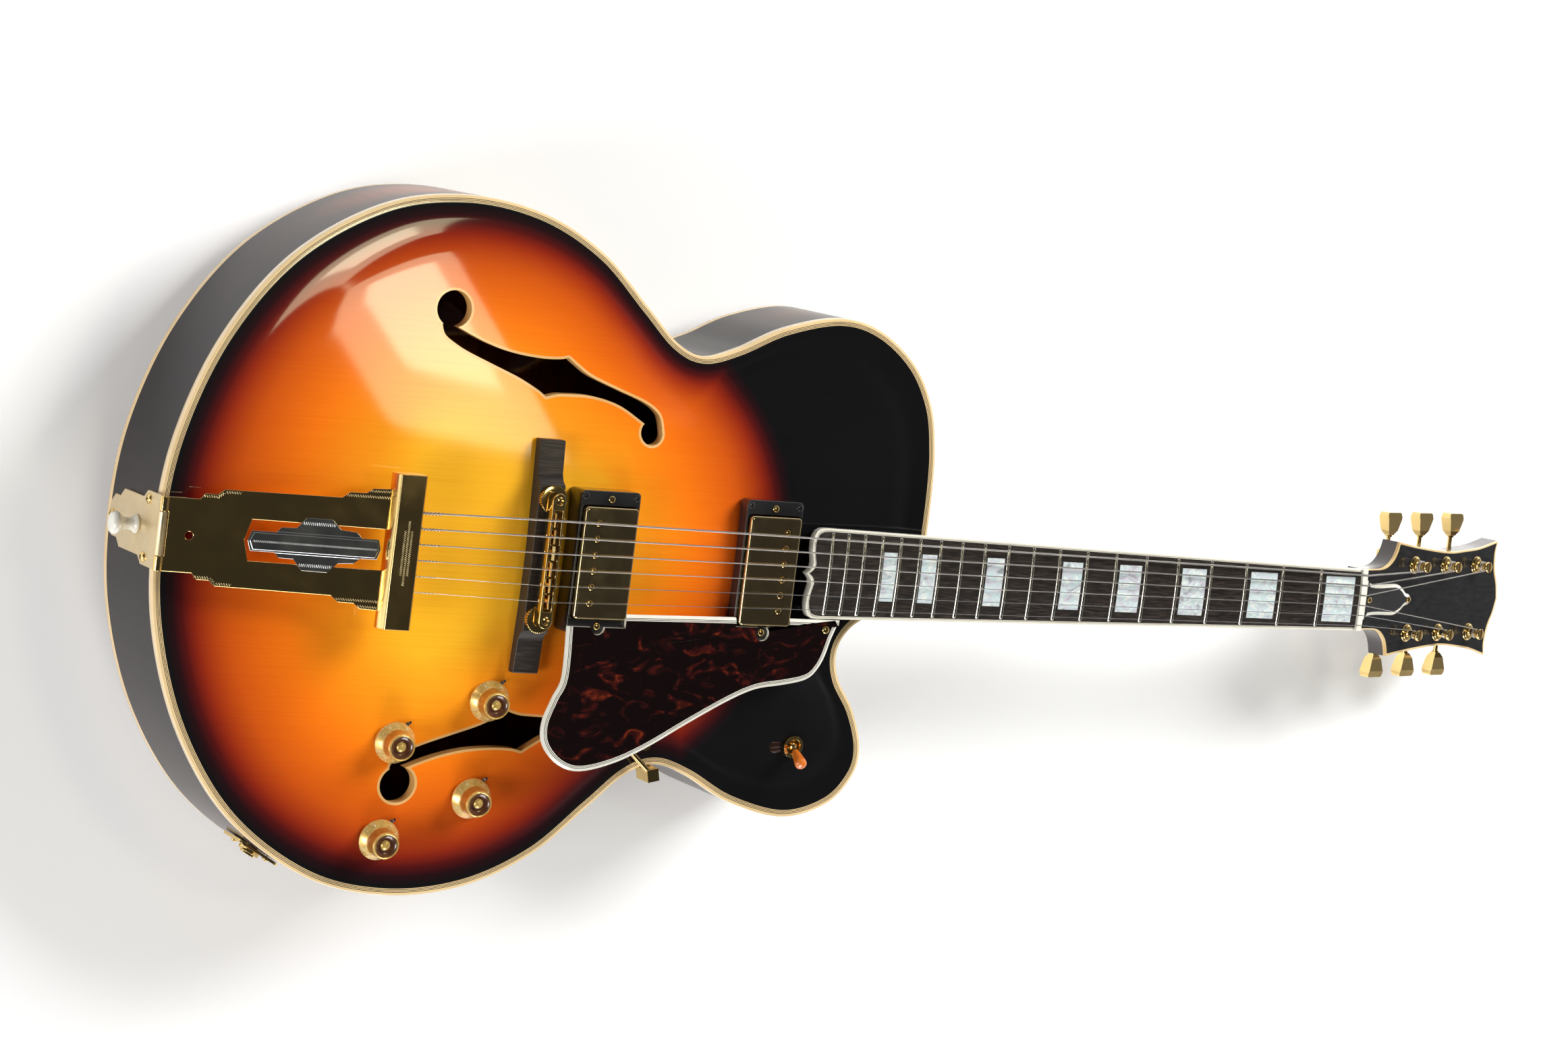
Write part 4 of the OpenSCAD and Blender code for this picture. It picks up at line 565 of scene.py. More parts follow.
# Body binding: cream strips glued into a ledge round both plates, scraped level and rounded
# over. The top's binding has black lines laid between white ones.
BINDING_TOP = TOP_Z + 0.02
top_binding = band(
    "top_binding_ply",
    [(0.05, TOP_Z - 6.5), (0, TOP_Z - 6.4), (0, TOP_Z - 1.0), (0.3, TOP_Z - 0.3), (1.0, BINDING_TOP),
     (5.0, BINDING_TOP), (5.0, TOP_Z - 6.5)],
)
mark_burst(
    top_binding,
    lambda places: np.where(
        places[:, 2] > TOP_Z - 0.2, 150 * edge_gap(places[:, :2]).clip(0, 5) / 5, 0
    ),
)


def plastic(name, colour, other, rough=0.22, scale=30.0, coat=0.6):
    """Moulded or sheet plastic with faint clouds in its colour, and a polished skin."""
    paint, nodes, links, shader = new_paint(name, colour, rough)
    clouds = ramp(
        nodes, links, grain(nodes, links, scale, detail=2), [(0.3, tuple(other)), (0.7, tuple(colour))]
    )
    links.new(clouds, shader.inputs["Base Color"])
    shader.inputs["Coat Weight"].default_value = coat
    shader.inputs["Coat Roughness"].default_value = 0.06
    return paint


CREAM, DEEP_CREAM = (0.86, 0.63, 0.33), (0.76, 0.50, 0.22)
cream_paint = plastic("cream_binding", CREAM, DEEP_CREAM)
ply_paint, ply_nodes, ply_links, ply_shader = new_paint("ply_binding", CREAM, 0.22)
across = ply_nodes.new("ShaderNodeAttribute")
across.attribute_name = "burst"
INK = (0.012, 0.010, 0.010)
ply_stops = [
    (0.0, CREAM), (0.40, INK), (0.48, CREAM), (0.57, INK), (0.65, CREAM), (0.74, INK),
    (0.82, CREAM), (0.90, INK),
]
ply_lines = ramp(ply_nodes, ply_links, across.outputs["Fac"], ply_stops, "CONSTANT")
ply_clouds = ramp(
    ply_nodes, ply_links, grain(ply_nodes, ply_links, 30, detail=2), [(0.3, 0.88), (0.7, 1.0)]
)
ply_links.new(
    blended(ply_nodes, ply_links, ply_lines, ply_clouds, 1.0, "MULTIPLY"),
    ply_shader.inputs["Base Color"],
)
ply_shader.inputs["Coat Weight"].default_value = 0.8
ply_shader.inputs["Coat Roughness"].default_value = 0.05
finish_piece(top_binding, ply_paint, "binding", "top_binding", angle=40)
back_binding = band(
    "back_binding_strip",
    [(5.0, BACK_Z - 0.02), (1.0, BACK_Z - 0.02), (0.3, BACK_Z + 0.3), (0, BACK_Z + 1.0),
     (0, BACK_Z + 6.4), (0.05, BACK_Z + 6.5), (5.0, BACK_Z + 6.5)],
)
finish_piece(back_binding, cream_paint, "binding", "back_binding", angle=40)

# F-hole binding: a thin cream strip bent round the edge of each f-hole and glued flush.
amber_binding = plastic("amber_binding", (0.80, 0.47, 0.18), (0.68, 0.36, 0.11), 0.3, 20.0, 0.6)
for side, word in ((1, "bass"), (-1, "treble")):
    strip = carved_plate("f_hole_binding_" + word, TOP_Z + 0.03, 1)
    shape_with(strip, f_hole_tool("f_keep", side, F_BINDING_WIDTH + 0.01, 91, 131), "INTERSECT")
    shape_with(strip, f_hole_tool("f_clear", side, 0, 90, 132), "DIFFERENCE")
    finish_piece(strip, amber_binding, "binding", angle=30)
    f_strips = (f_strips + [strip]) if side < 0 else [strip]
for strip in f_strips:
    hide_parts("f_hole_binding")

# Inside the body: a spruce block at the tail, another at the neck, kerfed linings glued along
# the sides, and two long bars under the top. All of it is bare wood, seen through the f-holes.
bare_paint, nodes, links, shader = new_paint("bare_spruce", (0.62, 0.44, 0.24), 0.7)
bare_lines = ramp(
    nodes, links, grain(nodes, links, 1.0, (20, 500, 500), 3, 0.3),
    [(0.3, (0.45, 0.29, 0.14)), (0.7, (0.66, 0.48, 0.27))],
)
links.new(bare_lines, shader.inputs["Base Color"])
bumped(nodes, links, shader, bare_lines, 0.3, 0.1)


def dress(node, paint):
    """Puts a material on a CAD piece whose shape stays as it is."""
    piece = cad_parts[node]
    for place in piece.material_slots:
        place.material = paint


dress("blocks_and_linings", bare_paint)
dress("tone_bars", bare_paint)


# The neck: maple with its headstock and heel in one carved piece, sprayed deep brown to black
# and polished. A cream cap closes the heel, and the truss rod lies in a channel inside.
def refined(node, name, paint, slot, rounding, body="root", angle=35, segments=2, clamp=True):
    """Copy of a CAD piece with its flat faces joined and its edges rounded over, in mm."""
    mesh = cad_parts[node].data.copy()
    mesh.transform(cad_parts[node].matrix_world)
    piece = bpy.data.objects.new(name, mesh)
    scene.collection.objects.link(piece)
    bpy.ops.object.select_all(action="DESELECT")
    piece.select_set(True)
    bpy.context.view_layer.objects.active = piece
    bpy.ops.object.mode_set(mode="EDIT")
    bpy.ops.mesh.select_all(action="SELECT")
    bpy.ops.mesh.remove_doubles(threshold=0.000002)
    bpy.ops.mesh.dissolve_limited(angle_limit=math.radians(0.8))
    bpy.ops.object.mode_set(mode="OBJECT")
    if rounding:
        step = piece.modifiers.new("rounding", "BEVEL")
        step.width = rounding / 1000
        step.segments = segments
        step.use_clamp_overlap = clamp
        step.limit_method = "ANGLE"
        step.angle_limit = math.radians(angle)
        bpy.ops.object.modifier_apply(modifier="rounding")
    finish_piece(piece, paint, slot, node, body=body, angle=angle)
    level_normals(piece)
    return piece


neck_paint, nodes, links, shader = new_paint("neck_lacquer", (0.02, 0.010, 0.008), 0.3)
neck_tone = ramp(
    nodes, links, grain(nodes, links, 1.0, (9, 220, 220), 4, 0.5),
    [(0.3, (0.008, 0.005, 0.005)), (0.7, (0.028, 0.011, 0.008))],
)
links.new(neck_tone, shader.inputs["Base Color"])
shader.inputs["Coat Weight"].default_value = 1.0
shader.inputs["Coat Roughness"].default_value = 0.04
refined("neck", "neck_wood", neck_paint, "neck_wood", 0.5)
refined("heel_cap", "heel_cap_sheet", cream_paint, "binding", 0.4)
steel_paint, nodes, links, shader = new_paint("steel", (0.62, 0.61, 0.58), 0.3, 1.0)
steel_tone = ramp(nodes, links, grain(nodes, links, 90.0, detail=4), [(0.3, 0.22), (0.7, 0.38)])
links.new(steel_tone, shader.inputs["Roughness"])
dress("truss_rod", steel_paint)

# The headstock's face: a black veneer, polished, with a cream strip bound round its edge. The
# same strip runs along the fingerboard, where a black and a white line lie inside it.
veneer_paint, nodes, links, shader = new_paint("black_veneer", (0.010, 0.010, 0.011), 0.25)
veneer_tone = ramp(
    nodes, links, grain(nodes, links, 1.0, (30, 400, 400), 3),
    [(0.3, (0.006, 0.006, 0.007)), (0.7, (0.016, 0.015, 0.015))],
)
links.new(veneer_tone, shader.inputs["Base Color"])
shader.inputs["Specular IOR Level"].default_value = 0.1
shader.inputs["Coat Weight"].default_value = 0.7
shader.inputs["Coat Roughness"].default_value = 0.06
refined("headstock_veneer", "headstock_face", veneer_paint, "veneer", 0.25)
amber_cream_paint = plastic("aged_binding", (0.78, 0.60, 0.33), (0.64, 0.43, 0.18))
edge_binding = refined(
    "neck_binding", "neck_and_head_binding", amber_cream_paint, "binding", 0.35
)
white_ply_paint, nodes, links, shader = new_paint("white_ply_binding", (0.82, 0.78, 0.66), 0.22)
across = nodes.new("ShaderNodeAttribute")
across.attribute_name = "burst"
PALE, INK = (0.84, 0.80, 0.68), (0.012, 0.010, 0.010)
white_lines = ramp(
    nodes, links, across.outputs["Fac"],
    [(0.0, PALE), (0.62, INK), (0.72, PALE), (0.84, INK), (0.93, PALE)], "CONSTANT",
)
white_clouds = ramp(nodes, links, grain(nodes, links, 40, detail=2), [(0.3, 0.9), (0.7, 1.0)])
links.new(
    blended(nodes, links, white_lines, white_clouds, 1.0, "MULTIPLY"), shader.inputs["Base Color"]
)
shader.inputs["Coat Weight"].default_value = 0.8
shader.inputs["Coat Roughness"].default_value = 0.05
edge_binding.data.materials.append(white_ply_paint)
board_corners = np.array([tuple(v.co)[:2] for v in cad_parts["fretboard"].data.vertices])
board_corners += np.array(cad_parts["fretboard"].matrix_world.translation)[:2]
inner = [
    float(np.min(np.hypot(*(board_corners - np.array(tuple(v.co)[:2])).T)) < 0.0006)
    for v in edge_binding.data.vertices
]
edge_binding.data.attributes.new("burst", "FLOAT", "POINT").data.foreach_set("value", inner)
for face in edge_binding.data.polygons:
    face.material_index = 1 if face.center.x < NUT_X / 1000 + 0.001 else 0


def place_on_neck():
    """The neck's own frame: along it, across it and up from the fingerboard's middle, in m."""
    return Matrix.Translation((NUT_X / 1000, 0, NUT_Z / 1000)) @ Matrix.Rotation(
        math.radians(3), 4, "Y"
    )


def place_on_head():
    step = Matrix.Translation((0.0045, 0, -0.0035)) @ Matrix.Rotation(math.radians(15), 4, "Y")
    return place_on_neck() @ step


# The fingerboard: ebony, cambered, with a bracket-shaped end over the body, block inlays of
# pearl let into it, and nickel frets hammered into slots and rounded at their ends.
ebony_paint, nodes, links, shader = new_paint("ebony", (0.02, 0.016, 0.014), 0.42)
pores = ramp(
    nodes, links, grain(nodes, links, 1.0, (60, 1500, 1500), 4, 0.2),
    [(0.32, (0.055, 0.042, 0.034)), (0.55, (0.016, 0.013, 0.012)), (0.8, (0.009, 0.008, 0.008))],
)
links.new(pores, shader.inputs["Base Color"])
bumped(nodes, links, shader, pores, 0.25, 0.08)
refined("fretboard", "fingerboard", ebony_paint, "ebony", 0.0, angle=20)

pearl_paint, nodes, links, shader = new_paint("pearl", (0.66, 0.70, 0.68), 0.18)
swirl = grain(nodes, links, 70.0, (1.0, 1.6, 1.0), 2.5, 2.2)
pearl_tone = ramp(
    nodes, links, swirl,
    [(0.30, (0.30, 0.34, 0.34)), (0.42, (0.62, 0.60, 0.66)), (0.52, (0.52, 0.66, 0.66)),
     (0.62, (0.80, 0.80, 0.76)), (0.72, (0.42, 0.50, 0.54)), (0.85, (0.76, 0.80, 0.80))],
)
links.new(pearl_tone, shader.inputs["Base Color"])
pearl_gloss = ramp(nodes, links, swirl, [(0.3, 0.30), (0.7, 0.10)])
links.new(pearl_gloss, shader.inputs["Roughness"])
shader.inputs["Coat Weight"].default_value = 0.6
shader.inputs["Coat Roughness"].default_value = 0.08
refined("inlays", "pearl_blocks", pearl_paint, "pearl", 0.0, angle=20)

SCALE, FRETS, BOARD_R = 647.7, 20, 305.0
LAST_FRET = SCALE * (1 - 2 ** (-FRETS / 12))
fret_profile = [(-1.2, 0.0), (-1.15, 0.35), (-0.8, 0.8), (-0.3, 1.06), (0.3, 1.06), (0.8, 0.8),
                (1.15, 0.35), (1.2, 0.0), (0.6, -0.4), (-0.6, -0.4)]


def fret_half(d):
    return (43.5 + (58.5 - 43.5) * d / LAST_FRET) / 2 - 2.5


points, faces = [], []
for n in range(1, FRETS + 1):
    d = SCALE * (1 - 2 ** (-n / 12))
    half = fret_half(d)
    steps = [-1, -0.985, -0.95, -0.8, -0.6, -0.4, -0.2, 0, 0.2, 0.4, 0.6, 0.8, 0.95, 0.985, 1]
    first = len(points)
    for share in steps:
        y = share * half
        sink = {1: 0.9, 0.985: 0.35, 0.95: 0.08}.get(abs(share), 0)
        drop = BOARD_R - math.sqrt(BOARD_R**2 - y * y)
        points += [(-d + x, y, z * (1 - 0.5 * sink) - drop - 0.3 * sink) for x, z in fret_profile]
    size = len(fret_profile)
    for row in range(len(steps) - 1):
        for k in range(size):
            a, b = first + row * size + k, first + row * size + (k + 1) % size
            faces.append((a, a + size, b + size, b))
    faces.append(tuple(first + k for k in range(size)))
    faces.append(tuple(first + (len(steps) - 1) * size + k for k in range(size))[::-1])
fret_paint, nodes, links, shader = new_paint("fret_wire", (0.74, 0.70, 0.60), 0.16, 1.0)
worn = ramp(nodes, links, grain(nodes, links, 400.0, detail=3), [(0.3, 0.10), (0.7, 0.26)])
links.new(worn, shader.inputs["Roughness"])
frets = add_mesh("fret_wires", points, faces)
frets.data.transform(place_on_neck())
finish_piece(frets, fret_paint, "fret_wire", "frets", angle=50)

# The nut: a white block with six slots, glued against the end of the fingerboard.
bone_paint = plastic("white_nut", (0.86, 0.83, 0.74), (0.78, 0.74, 0.62), 0.3, 200.0, 0.3)
refined("nut", "nut_block", bone_paint, "bone", 0.25)

# The truss rod's cover: a bell-shaped plate of black over white plastic, its edge chamfered so
# that the white layer shows as a line, held by two small screws.
bell_half = [(8, 11.5), (14, 10.9), (22, 10.8), (37, 11.2), (43, 10.4), (49, 7.6),
             (53, 4.6), (57.5, 3.4), (60.5, 0)]
bell_side = [(1.5, 14.3)] + [tuple(place) for place in smooth_line(bell_half, 6)]
bell = np.array([(x, -y) for x, y in bell_side] + [(x, y) for x, y in bell_side[::-1][1:]])
white_paint = plastic("white_sheet", (0.82, 0.80, 0.72), (0.74, 0.71, 0.60), 0.25, 60.0, 0.5)
black_paint = plastic("black_plastic", (0.012, 0.012, 0.013), (0.022, 0.021, 0.021), 0.2, 50.0, 0.8)


def layered_plate(name, loop, sections, place, paints, slot, *nodes):
    """Plate of several layers with a chamfered edge: (inset, height) rings, and the material
    that each wall and at last the face between them has."""
    count = len(loop)
    points, faces, kinds = [], [], []
    for gap, z in sections:
        points += [(x, y, z) for x, y in moved_in(loop, gap)]
    for ring in range(len(sections) - 1):
        for k in range(count):
            n = (k + 1) % count
            faces.append((ring * count + k, ring * count + n, (ring + 1) * count + n,
                          (ring + 1) * count + k))
            kinds.append(paints[ring][1])
    faces.append(tuple(range(count))[::-1])
    faces.append(tuple((len(sections) - 1) * count + k for k in range(count)))
    kinds += [paints[0][1], paints[-1][1]]
    piece = add_mesh(name, points, faces)
    piece.data.transform(place)
    used = []
    for paint, _ in paints:
        if paint not in used:
            used.append(paint)
    finish_piece(piece, used[0], slot, *nodes, angle=30)
    for paint in used[1:]:
        piece.data.materials.append(paint)
    for face, kind in zip(piece.data.polygons, kinds):
        face.material_index = kind
    level_normals(piece)
    return piece


layered_plate(
    "truss_cover", bell,
    [(0.3, 0.06), (0, 0.2), (0, 1.3), (2.3, 2.3), (2.4, 2.34), (2.9, 2.5), (3.2, 2.55)],
    place_on_head(),
    [(white_paint, 0), (white_paint, 0), (white_paint, 0), (white_paint, 0), (black_paint, 1),
     (black_paint, 1), (black_paint, 1)],
    "black_plastic", "truss_rod_cover",
)


# The tuners: gold-plated machine heads. Each has a bushing pressed into the face, a turned post
# with a waist for the string, a closed gear housing at the back and a keystone button.
def plated(name, colour, rough, spots=60.0, tint=0.86):
    """Plated metal, whose colour and gloss vary faintly with handling; on the engraved cuts the same flecks, finer
    and stronger, are painted glints.
    """
    paint, nodes, links, shader = new_paint(name, colour, rough, 1.0)
    handling_and_glint_flecks = grain(nodes, links, spots, detail=5)
    tone = ramp(
        nodes, links, handling_and_glint_flecks, [(0.3, tuple(tint * c for c in colour)), (0.7, tuple(colour))]
    )
    links.new(tone, shader.inputs["Base Color"])
    gloss = ramp(nodes, links, handling_and_glint_flecks, [(0.3, rough * 1.7), (0.7, rough * 0.7)])
    links.new(gloss, shader.inputs["Roughness"])
    return paint


gold_paint = plated("polished_gold", (0.92, 0.66, 0.27), 0.10)
satin_gold_paint = plated("satin_gold", (0.86, 0.70, 0.44), 0.34)
silver_paint = plated("nickel_silver", (0.78, 0.80, 0.82), 0.14)


def turned(name, profile, place=Matrix(), steps=40):
    """Turned piece: a profile of (radius, height) in mm, spun about the upright axis."""
    mesh = bpy.data.meshes.new(name)
    mesh.from_pydata(
        [(r / 1000, 0, z / 1000) for r, z in profile], [(k, k + 1) for k in range(len(profile) - 1)], []
    )
    piece = bpy.data.objects.new(name, mesh)
    scene.collection.objects.link(piece)
    bpy.ops.object.select_all(action="DESELECT")
    piece.select_set(True)
    bpy.context.view_layer.objects.active = piece
    bpy.ops.object.mode_set(mode="EDIT")
    bpy.ops.mesh.select_all(action="SELECT")
    bpy.ops.mesh.spin(steps=steps, angle=2 * math.pi, center=(0, 0, 0), axis=(0, 0, 1))
    bpy.ops.mesh.select_all(action="SELECT")
    bpy.ops.mesh.remove_doubles(threshold=0.000002)
    bpy.ops.mesh.normals_make_consistent(inside=False)
    bpy.ops.object.mode_set(mode="OBJECT")
    piece.data.transform(place)
    return piece


def joined(name, pieces):
    """Several shapes made one piece."""
    bpy.ops.object.select_all(action="DESELECT")
    for piece in pieces:
        piece.select_set(True)
    bpy.context.view_layer.objects.active = pieces[0]
    bpy.ops.object.join()
    pieces[0].name = name
    return pieces[0]


def moved_copy(piece, name, place):
    """Copy of a shape with its own mesh, put in its place."""
    copy = bpy.data.objects.new(name, piece.data.copy())
    scene.collection.objects.link(copy)
    copy.data.transform(place)
    return copy


def shift(x, y, z):
    """Move by a distance in mm."""
    return Matrix.Translation((x / 1000, y / 1000, z / 1000))


POST_Y, POST_PITCH, FIRST_POST = 24.6, 39.5, 62.3


def place_at_post(i):
    side = 1 if i < 3 else -1
    return place_on_head() @ shift(FIRST_POST + POST_PITCH * (i if i < 3 else 5 - i), side * POST_Y, 0)


bushing = turned(
    "bushing",
    [(3.1, -12), (4.95, -12), (4.95, 0.05), (6.2, 0.06), (6.35, 0.3), (6.2, 0.7), (5.9, 0.95),
     (5.2, 1.3), (4.9, 1.75), (4.5, 1.9), (3.3, 1.9), (3.1, 1.7), (3.1, -12)],
)
bushings = joined(
    "post_bushings", [moved_copy(bushing, "bushing_copy", place_at_post(i)) for i in range(6)]
)
bpy.data.objects.remove(bushing)
finish_piece(bushings, gold_paint, "gold", "tuner_bushings", angle=30)

post = turned(
    "post",
    [(0, -22.4), (4.7, -22.4), (4.9, -22.2), (4.9, -19), (4.7, -18.8), (3, -18.7), (3, 2.2), (2.95, 2.5),
     (2.72, 3.0), (2.6, 3.6), (2.56, 5.6), (2.6, 8.0), (2.8, 8.9), (3.3, 9.5), (3.8, 9.9),
     (4.0, 10.4), (4.0, 11.2), (3.85, 11.7), (3.5, 12.05), (2.9, 12.15), (0, 12.15)],
)
bpy.ops.mesh.primitive_cube_add(size=1)
slot_tool = bpy.context.object
slot_tool.data.transform(shift(0, 0, 12.4) @ Matrix.Diagonal((0.0012, 0.012, 0.003, 1)))
shape_with(post, slot_tool, "DIFFERENCE")
for i in range(6):
    turned_post = moved_copy(post, "tuning_post_" + str(i + 1), place_at_post(i))
    finish_piece(
        turned_post, gold_paint, "gold", "tuner_post_" + str(i + 1), body="post_" + str(i + 1)
    )
    refined(
        "tuner_button_" + str(i + 1), "keystone_button_" + str(i + 1), gold_paint, "gold", 0.3,
        body="button_" + str(i + 1), angle=14, segments=2,
    )
bpy.data.objects.remove(post)
refined("tuner_housings", "gear_housings", gold_paint, "gold", 0.9, angle=30, segments=3)


# The tailpiece: stamped plates of gold-plated brass, cut in steps, with a pointed window and a
# silver-coloured insert. It hinges on a bracket screwed to the tail and holds a heavy crossbar.
def place_on_bridge():
    return shift(BRIDGE_X, 0, TOP_Z)


HINGE_Z, TAIL_SLOPE, TAIL_PLATE_T, BRACKET_T = 10, 7.4, 2.2, 2.0
place_on_hinge = shift(TAIL_X - 0.05 - BRACKET_T / 2, 0, TOP_Z + HINGE_Z) @ Matrix.Rotation(
    math.radians(-TAIL_SLOPE), 4, "Y"
)
refined("tailpiece_plate", "tailpiece_sheet", gold_paint, "gold", 0.45, segments=3, clamp=False)
refined("tailpiece_crossbar", "string_crossbar", gold_paint, "gold", 0.45, segments=3, clamp=False)
refined("tail_bracket", "side_bracket", satin_gold_paint, "satin_gold", 0.3)
refined("tailpiece_insert", "window_insert", silver_paint, "silver", 0.25)

# The engraved cuts: rougher metal than the plate, with a paler, lighter colour and fine strong flecks, a painted
# glint of the cut facets.
gold_cut_painted_glint_paint = plated("gold_cut_painted_glint", (0.96, 0.78, 0.42), 0.38, 400.0, 0.6)
silver_cut_painted_glint_paint = plated("silver_cut_painted_glint", (0.88, 0.88, 0.86), 0.38, 400.0, 0.6)


def wriggle_line(points, width, pitch, height=0.12, thick=0.28):
    """Zigzag tool cut along a line of (x, y) points: a chain of thin three-sided strokes."""
    chain = []
    for (x0, y0), (x1, y1) in zip(points, points[1:]):
        length = math.hypot(x1 - x0, y1 - y0)
        count = max(2, round(length / pitch))
        nx, ny = -(y1 - y0) / length, (x1 - x0) / length
        for k in range(count):
            t, swing = k / count, width / 2 * (1 if k % 2 else -1)
            chain.append((x0 + t * (x1 - x0) + swing * nx, y0 + t * (y1 - y0) + swing * ny))
    corners, sides = [], []
    for (x0, y0), (x1, y1) in zip(chain, chain[1:]):
        length = max(1e-6, math.hypot(x1 - x0, y1 - y0))
        nx, ny = -(y1 - y0) / length * thick / 2, (x1 - x0) / length * thick / 2
        a = len(corners)
        corners += [(x0 + nx, y0 + ny, 0), (x0 - nx, y0 - ny, 0), (x0, y0, height)]
        corners += [(x1 + nx, y1 + ny, 0), (x1 - nx, y1 - ny, 0), (x1, y1, height)]
        sides += [(a, a + 2, a + 5, a + 3), (a + 1, a + 4, a + 5, a + 2), (a, a + 3, a + 4, a + 1),
                  (a, a + 1, a + 2), (a + 3, a + 5, a + 4)]
    return corners, sides


def engraved(name, lines, z, place, paint, slot):
    """All the tool cuts on one flat face, just standing in it."""
    points, faces = [], []
    for line, width, pitch in lines:
        corners, sides = wriggle_line(line, width, pitch)
        faces += [tuple(len(points) + k for k in side) for side in sides]
        points += [(x, y, up + z) for x, y, up in corners]
    piece = add_mesh(name, points, faces)
    piece.data.transform(place)
    finish_piece(piece, paint, slot, angle=20)
    return piece


plate_cuts = []
for side in (1, -1):
    plate_cuts += [
        ([(22.2, side * 24.2), (31.6, side * 24.2), (35.4, side * 27.3), (46, side * 27.6)], 1.5, 0.75),
        ([(109, side * 31.4), (137, side * 31.6)], 1.5, 0.75),
        ([(123, side * 34.9), (138, side * 35.3)], 1.4, 0.75),
    ]
engraved(
    "tailpiece_cuts", plate_cuts, TAIL_PLATE_T / 2 - 0.02, place_on_hinge, gold_cut_painted_glint_paint, "gold"
)
engraved(
    "insert_cuts", [([(54.6, 0), (131.4, 0)], 1.3, 0.65)], 3.25 - 0.02, place_on_hinge,
    silver_cut_painted_glint_paint, "silver",
)
engraved(
    "insert_side_cuts", [([(84, s * 12.6), (105, s * 12.6)], 2.0, 0.65) for s in (1, -1)],
    TAIL_PLATE_T / 2 + 0.05 + 0.8 - 0.02, place_on_hinge, silver_cut_painted_glint_paint, "silver",
)
CROSSBAR_X = TAIL_X + 133.88 - BRIDGE_X
engraved(
    "crossbar_cuts",
    [([(CROSSBAR_X + 11, -20), (CROSSBAR_X + 11, 20)], 1.5, 0.6),
     ([(CROSSBAR_X + 13.2, -14), (CROSSBAR_X + 13.2, 14)], 1.5, 0.6),
     ([(CROSSBAR_X + 8.8, -14), (CROSSBAR_X + 8.8, 14)], 1.5, 0.6)],
    36 - 0.02, place_on_bridge(), gold_cut_painted_glint_paint, "gold",
)

# The strap button: a turned white knob, screwed through the bracket into the tail block.
button_place = shift(TAIL_X - 0.1 - BRACKET_T, 0, TOP_Z - 28) @ Matrix.Rotation(
    math.radians(-90), 4, "Y"
)
strap_button = turned(
    "strap_knob",
    [(0, -16), (1.9, -16), (1.9, 0), (5.5, 0.02), (5.8, 0.4), (5.7, 1.3), (5.0, 2.2), (4.1, 3.1),
     (3.8, 4.4), (3.75, 6.4), (3.9, 8.3), (4.5, 9.8), (5.6, 10.8), (6.5, 11.6), (7.0, 12.8),
     (7.0, 13.9), (6.6, 15.2), (5.7, 16.1), (4.3, 16.7), (2.2, 16.95), (0, 16.95)], button_place,
)
finish_piece(strap_button, white_paint, "white_plastic", "strap_button", angle=60)


# The bridge: an ebony base carved to the top, two threaded studs with thumbwheels, and a gold
# metal bar in which six saddles slide, each on its own long screw.
refined("bridge_base", "bridge_foot", ebony_paint, "ebony", 0.7, angle=30, segments=3)

STUD_SPREAD, WHEEL_Z = 74.4, 26
studs = []
for side, word in ((1, "bass"), (-1, "treble")):
    stud_place = place_on_bridge() @ shift(0, side * STUD_SPREAD / 2, 0)
    wheel = turned(
        "wheel",
        [(2.3, WHEEL_Z), (8.2, WHEEL_Z), (8.5, WHEEL_Z + 0.25), (9.0, WHEEL_Z + 0.5),
         (9.0, WHEEL_Z + 3.4), (8.5, WHEEL_Z + 3.65), (8.1, WHEEL_Z + 3.7), (6.6, WHEEL_Z + 3.9),
         (2.3, WHEEL_Z + 3.9), (2.3, WHEEL_Z)],
        steps=144,
    )
    for point in wheel.data.vertices:
        if math.hypot(point.co.x, point.co.y) > 0.0087:
            tooth = round(math.atan2(point.co.y, point.co.x) / math.radians(2.5)) % 4
            point.co.xy *= 0.955 if tooth in (1, 2) else 1
    wheel.data.transform(stud_place)
    finish_piece(
        wheel, gold_paint, "gold", "thumbwheel_" + word, body="thumbwheel_" + word, angle=25
    )
    thread = [(0, 18)]
    for k in range(26):
        thread += [(2.2, 18 + 0.7 * k), (1.95, 18.35 + 0.7 * k)]
    thread += [(2.1, 36.6), (1.7, 36.8), (0, 36.8)]
    studs.append(turned("stud", thread, stud_place, 24))
bridge_studs = joined("threaded_studs", studs)
finish_piece(bridge_studs, gold_paint, "gold", "bridge_studs", angle=40)
refined("bridge_body", "bridge_bar", gold_paint, "gold", 0.5, angle=40, segments=3, clamp=False)
refined("bridge_saddles", "string_saddles", gold_paint, "gold", 0.15, angle=35)

SADDLE_SET = (-1, -0.4, 0.2, -0.6, 0, 0.6)
BRIDGE_SPREAD = 50.5


def slotted_head(radius, height, slot):
    """Round screw head with one slot, standing on the plane."""
    dome = [(0, 0), (radius, 0), (radius, 0.35 * height), (0.93 * radius, 0.62 * height),
            (0.74 * radius, 0.86 * height), (0.42 * radius, 0.98 * height), (0, height)]
    head = turned("head", dome, steps=32)
    bpy.ops.mesh.primitive_cube_add(size=1)
    cutter = bpy.context.object
    size = (slot / 1000, 2.4 * radius / 1000, height / 1000, 1)
    cutter.data.transform(shift(0, 0, 1.05 * height) @ Matrix.Diagonal(size))
    shape_with(head, cutter, "DIFFERENCE")
    return head


head = slotted_head(1.8, 1.7, 0.5)
along_bar = Matrix.Rotation(math.radians(90), 4, "Y")
heads = []
for i in range(6):
    seat = shift(4.3, BRIDGE_SPREAD * (0.5 - i / 5), 34.7) @ along_bar
    turn = Matrix.Rotation(math.radians(35 + 50 * i), 4, "Z")
    heads.append(moved_copy(head, "head_copy", place_on_bridge() @ seat @ turn))
bpy.data.objects.remove(head)
finish_piece(joined("saddle_screw_heads", heads), gold_paint, "gold", angle=40)


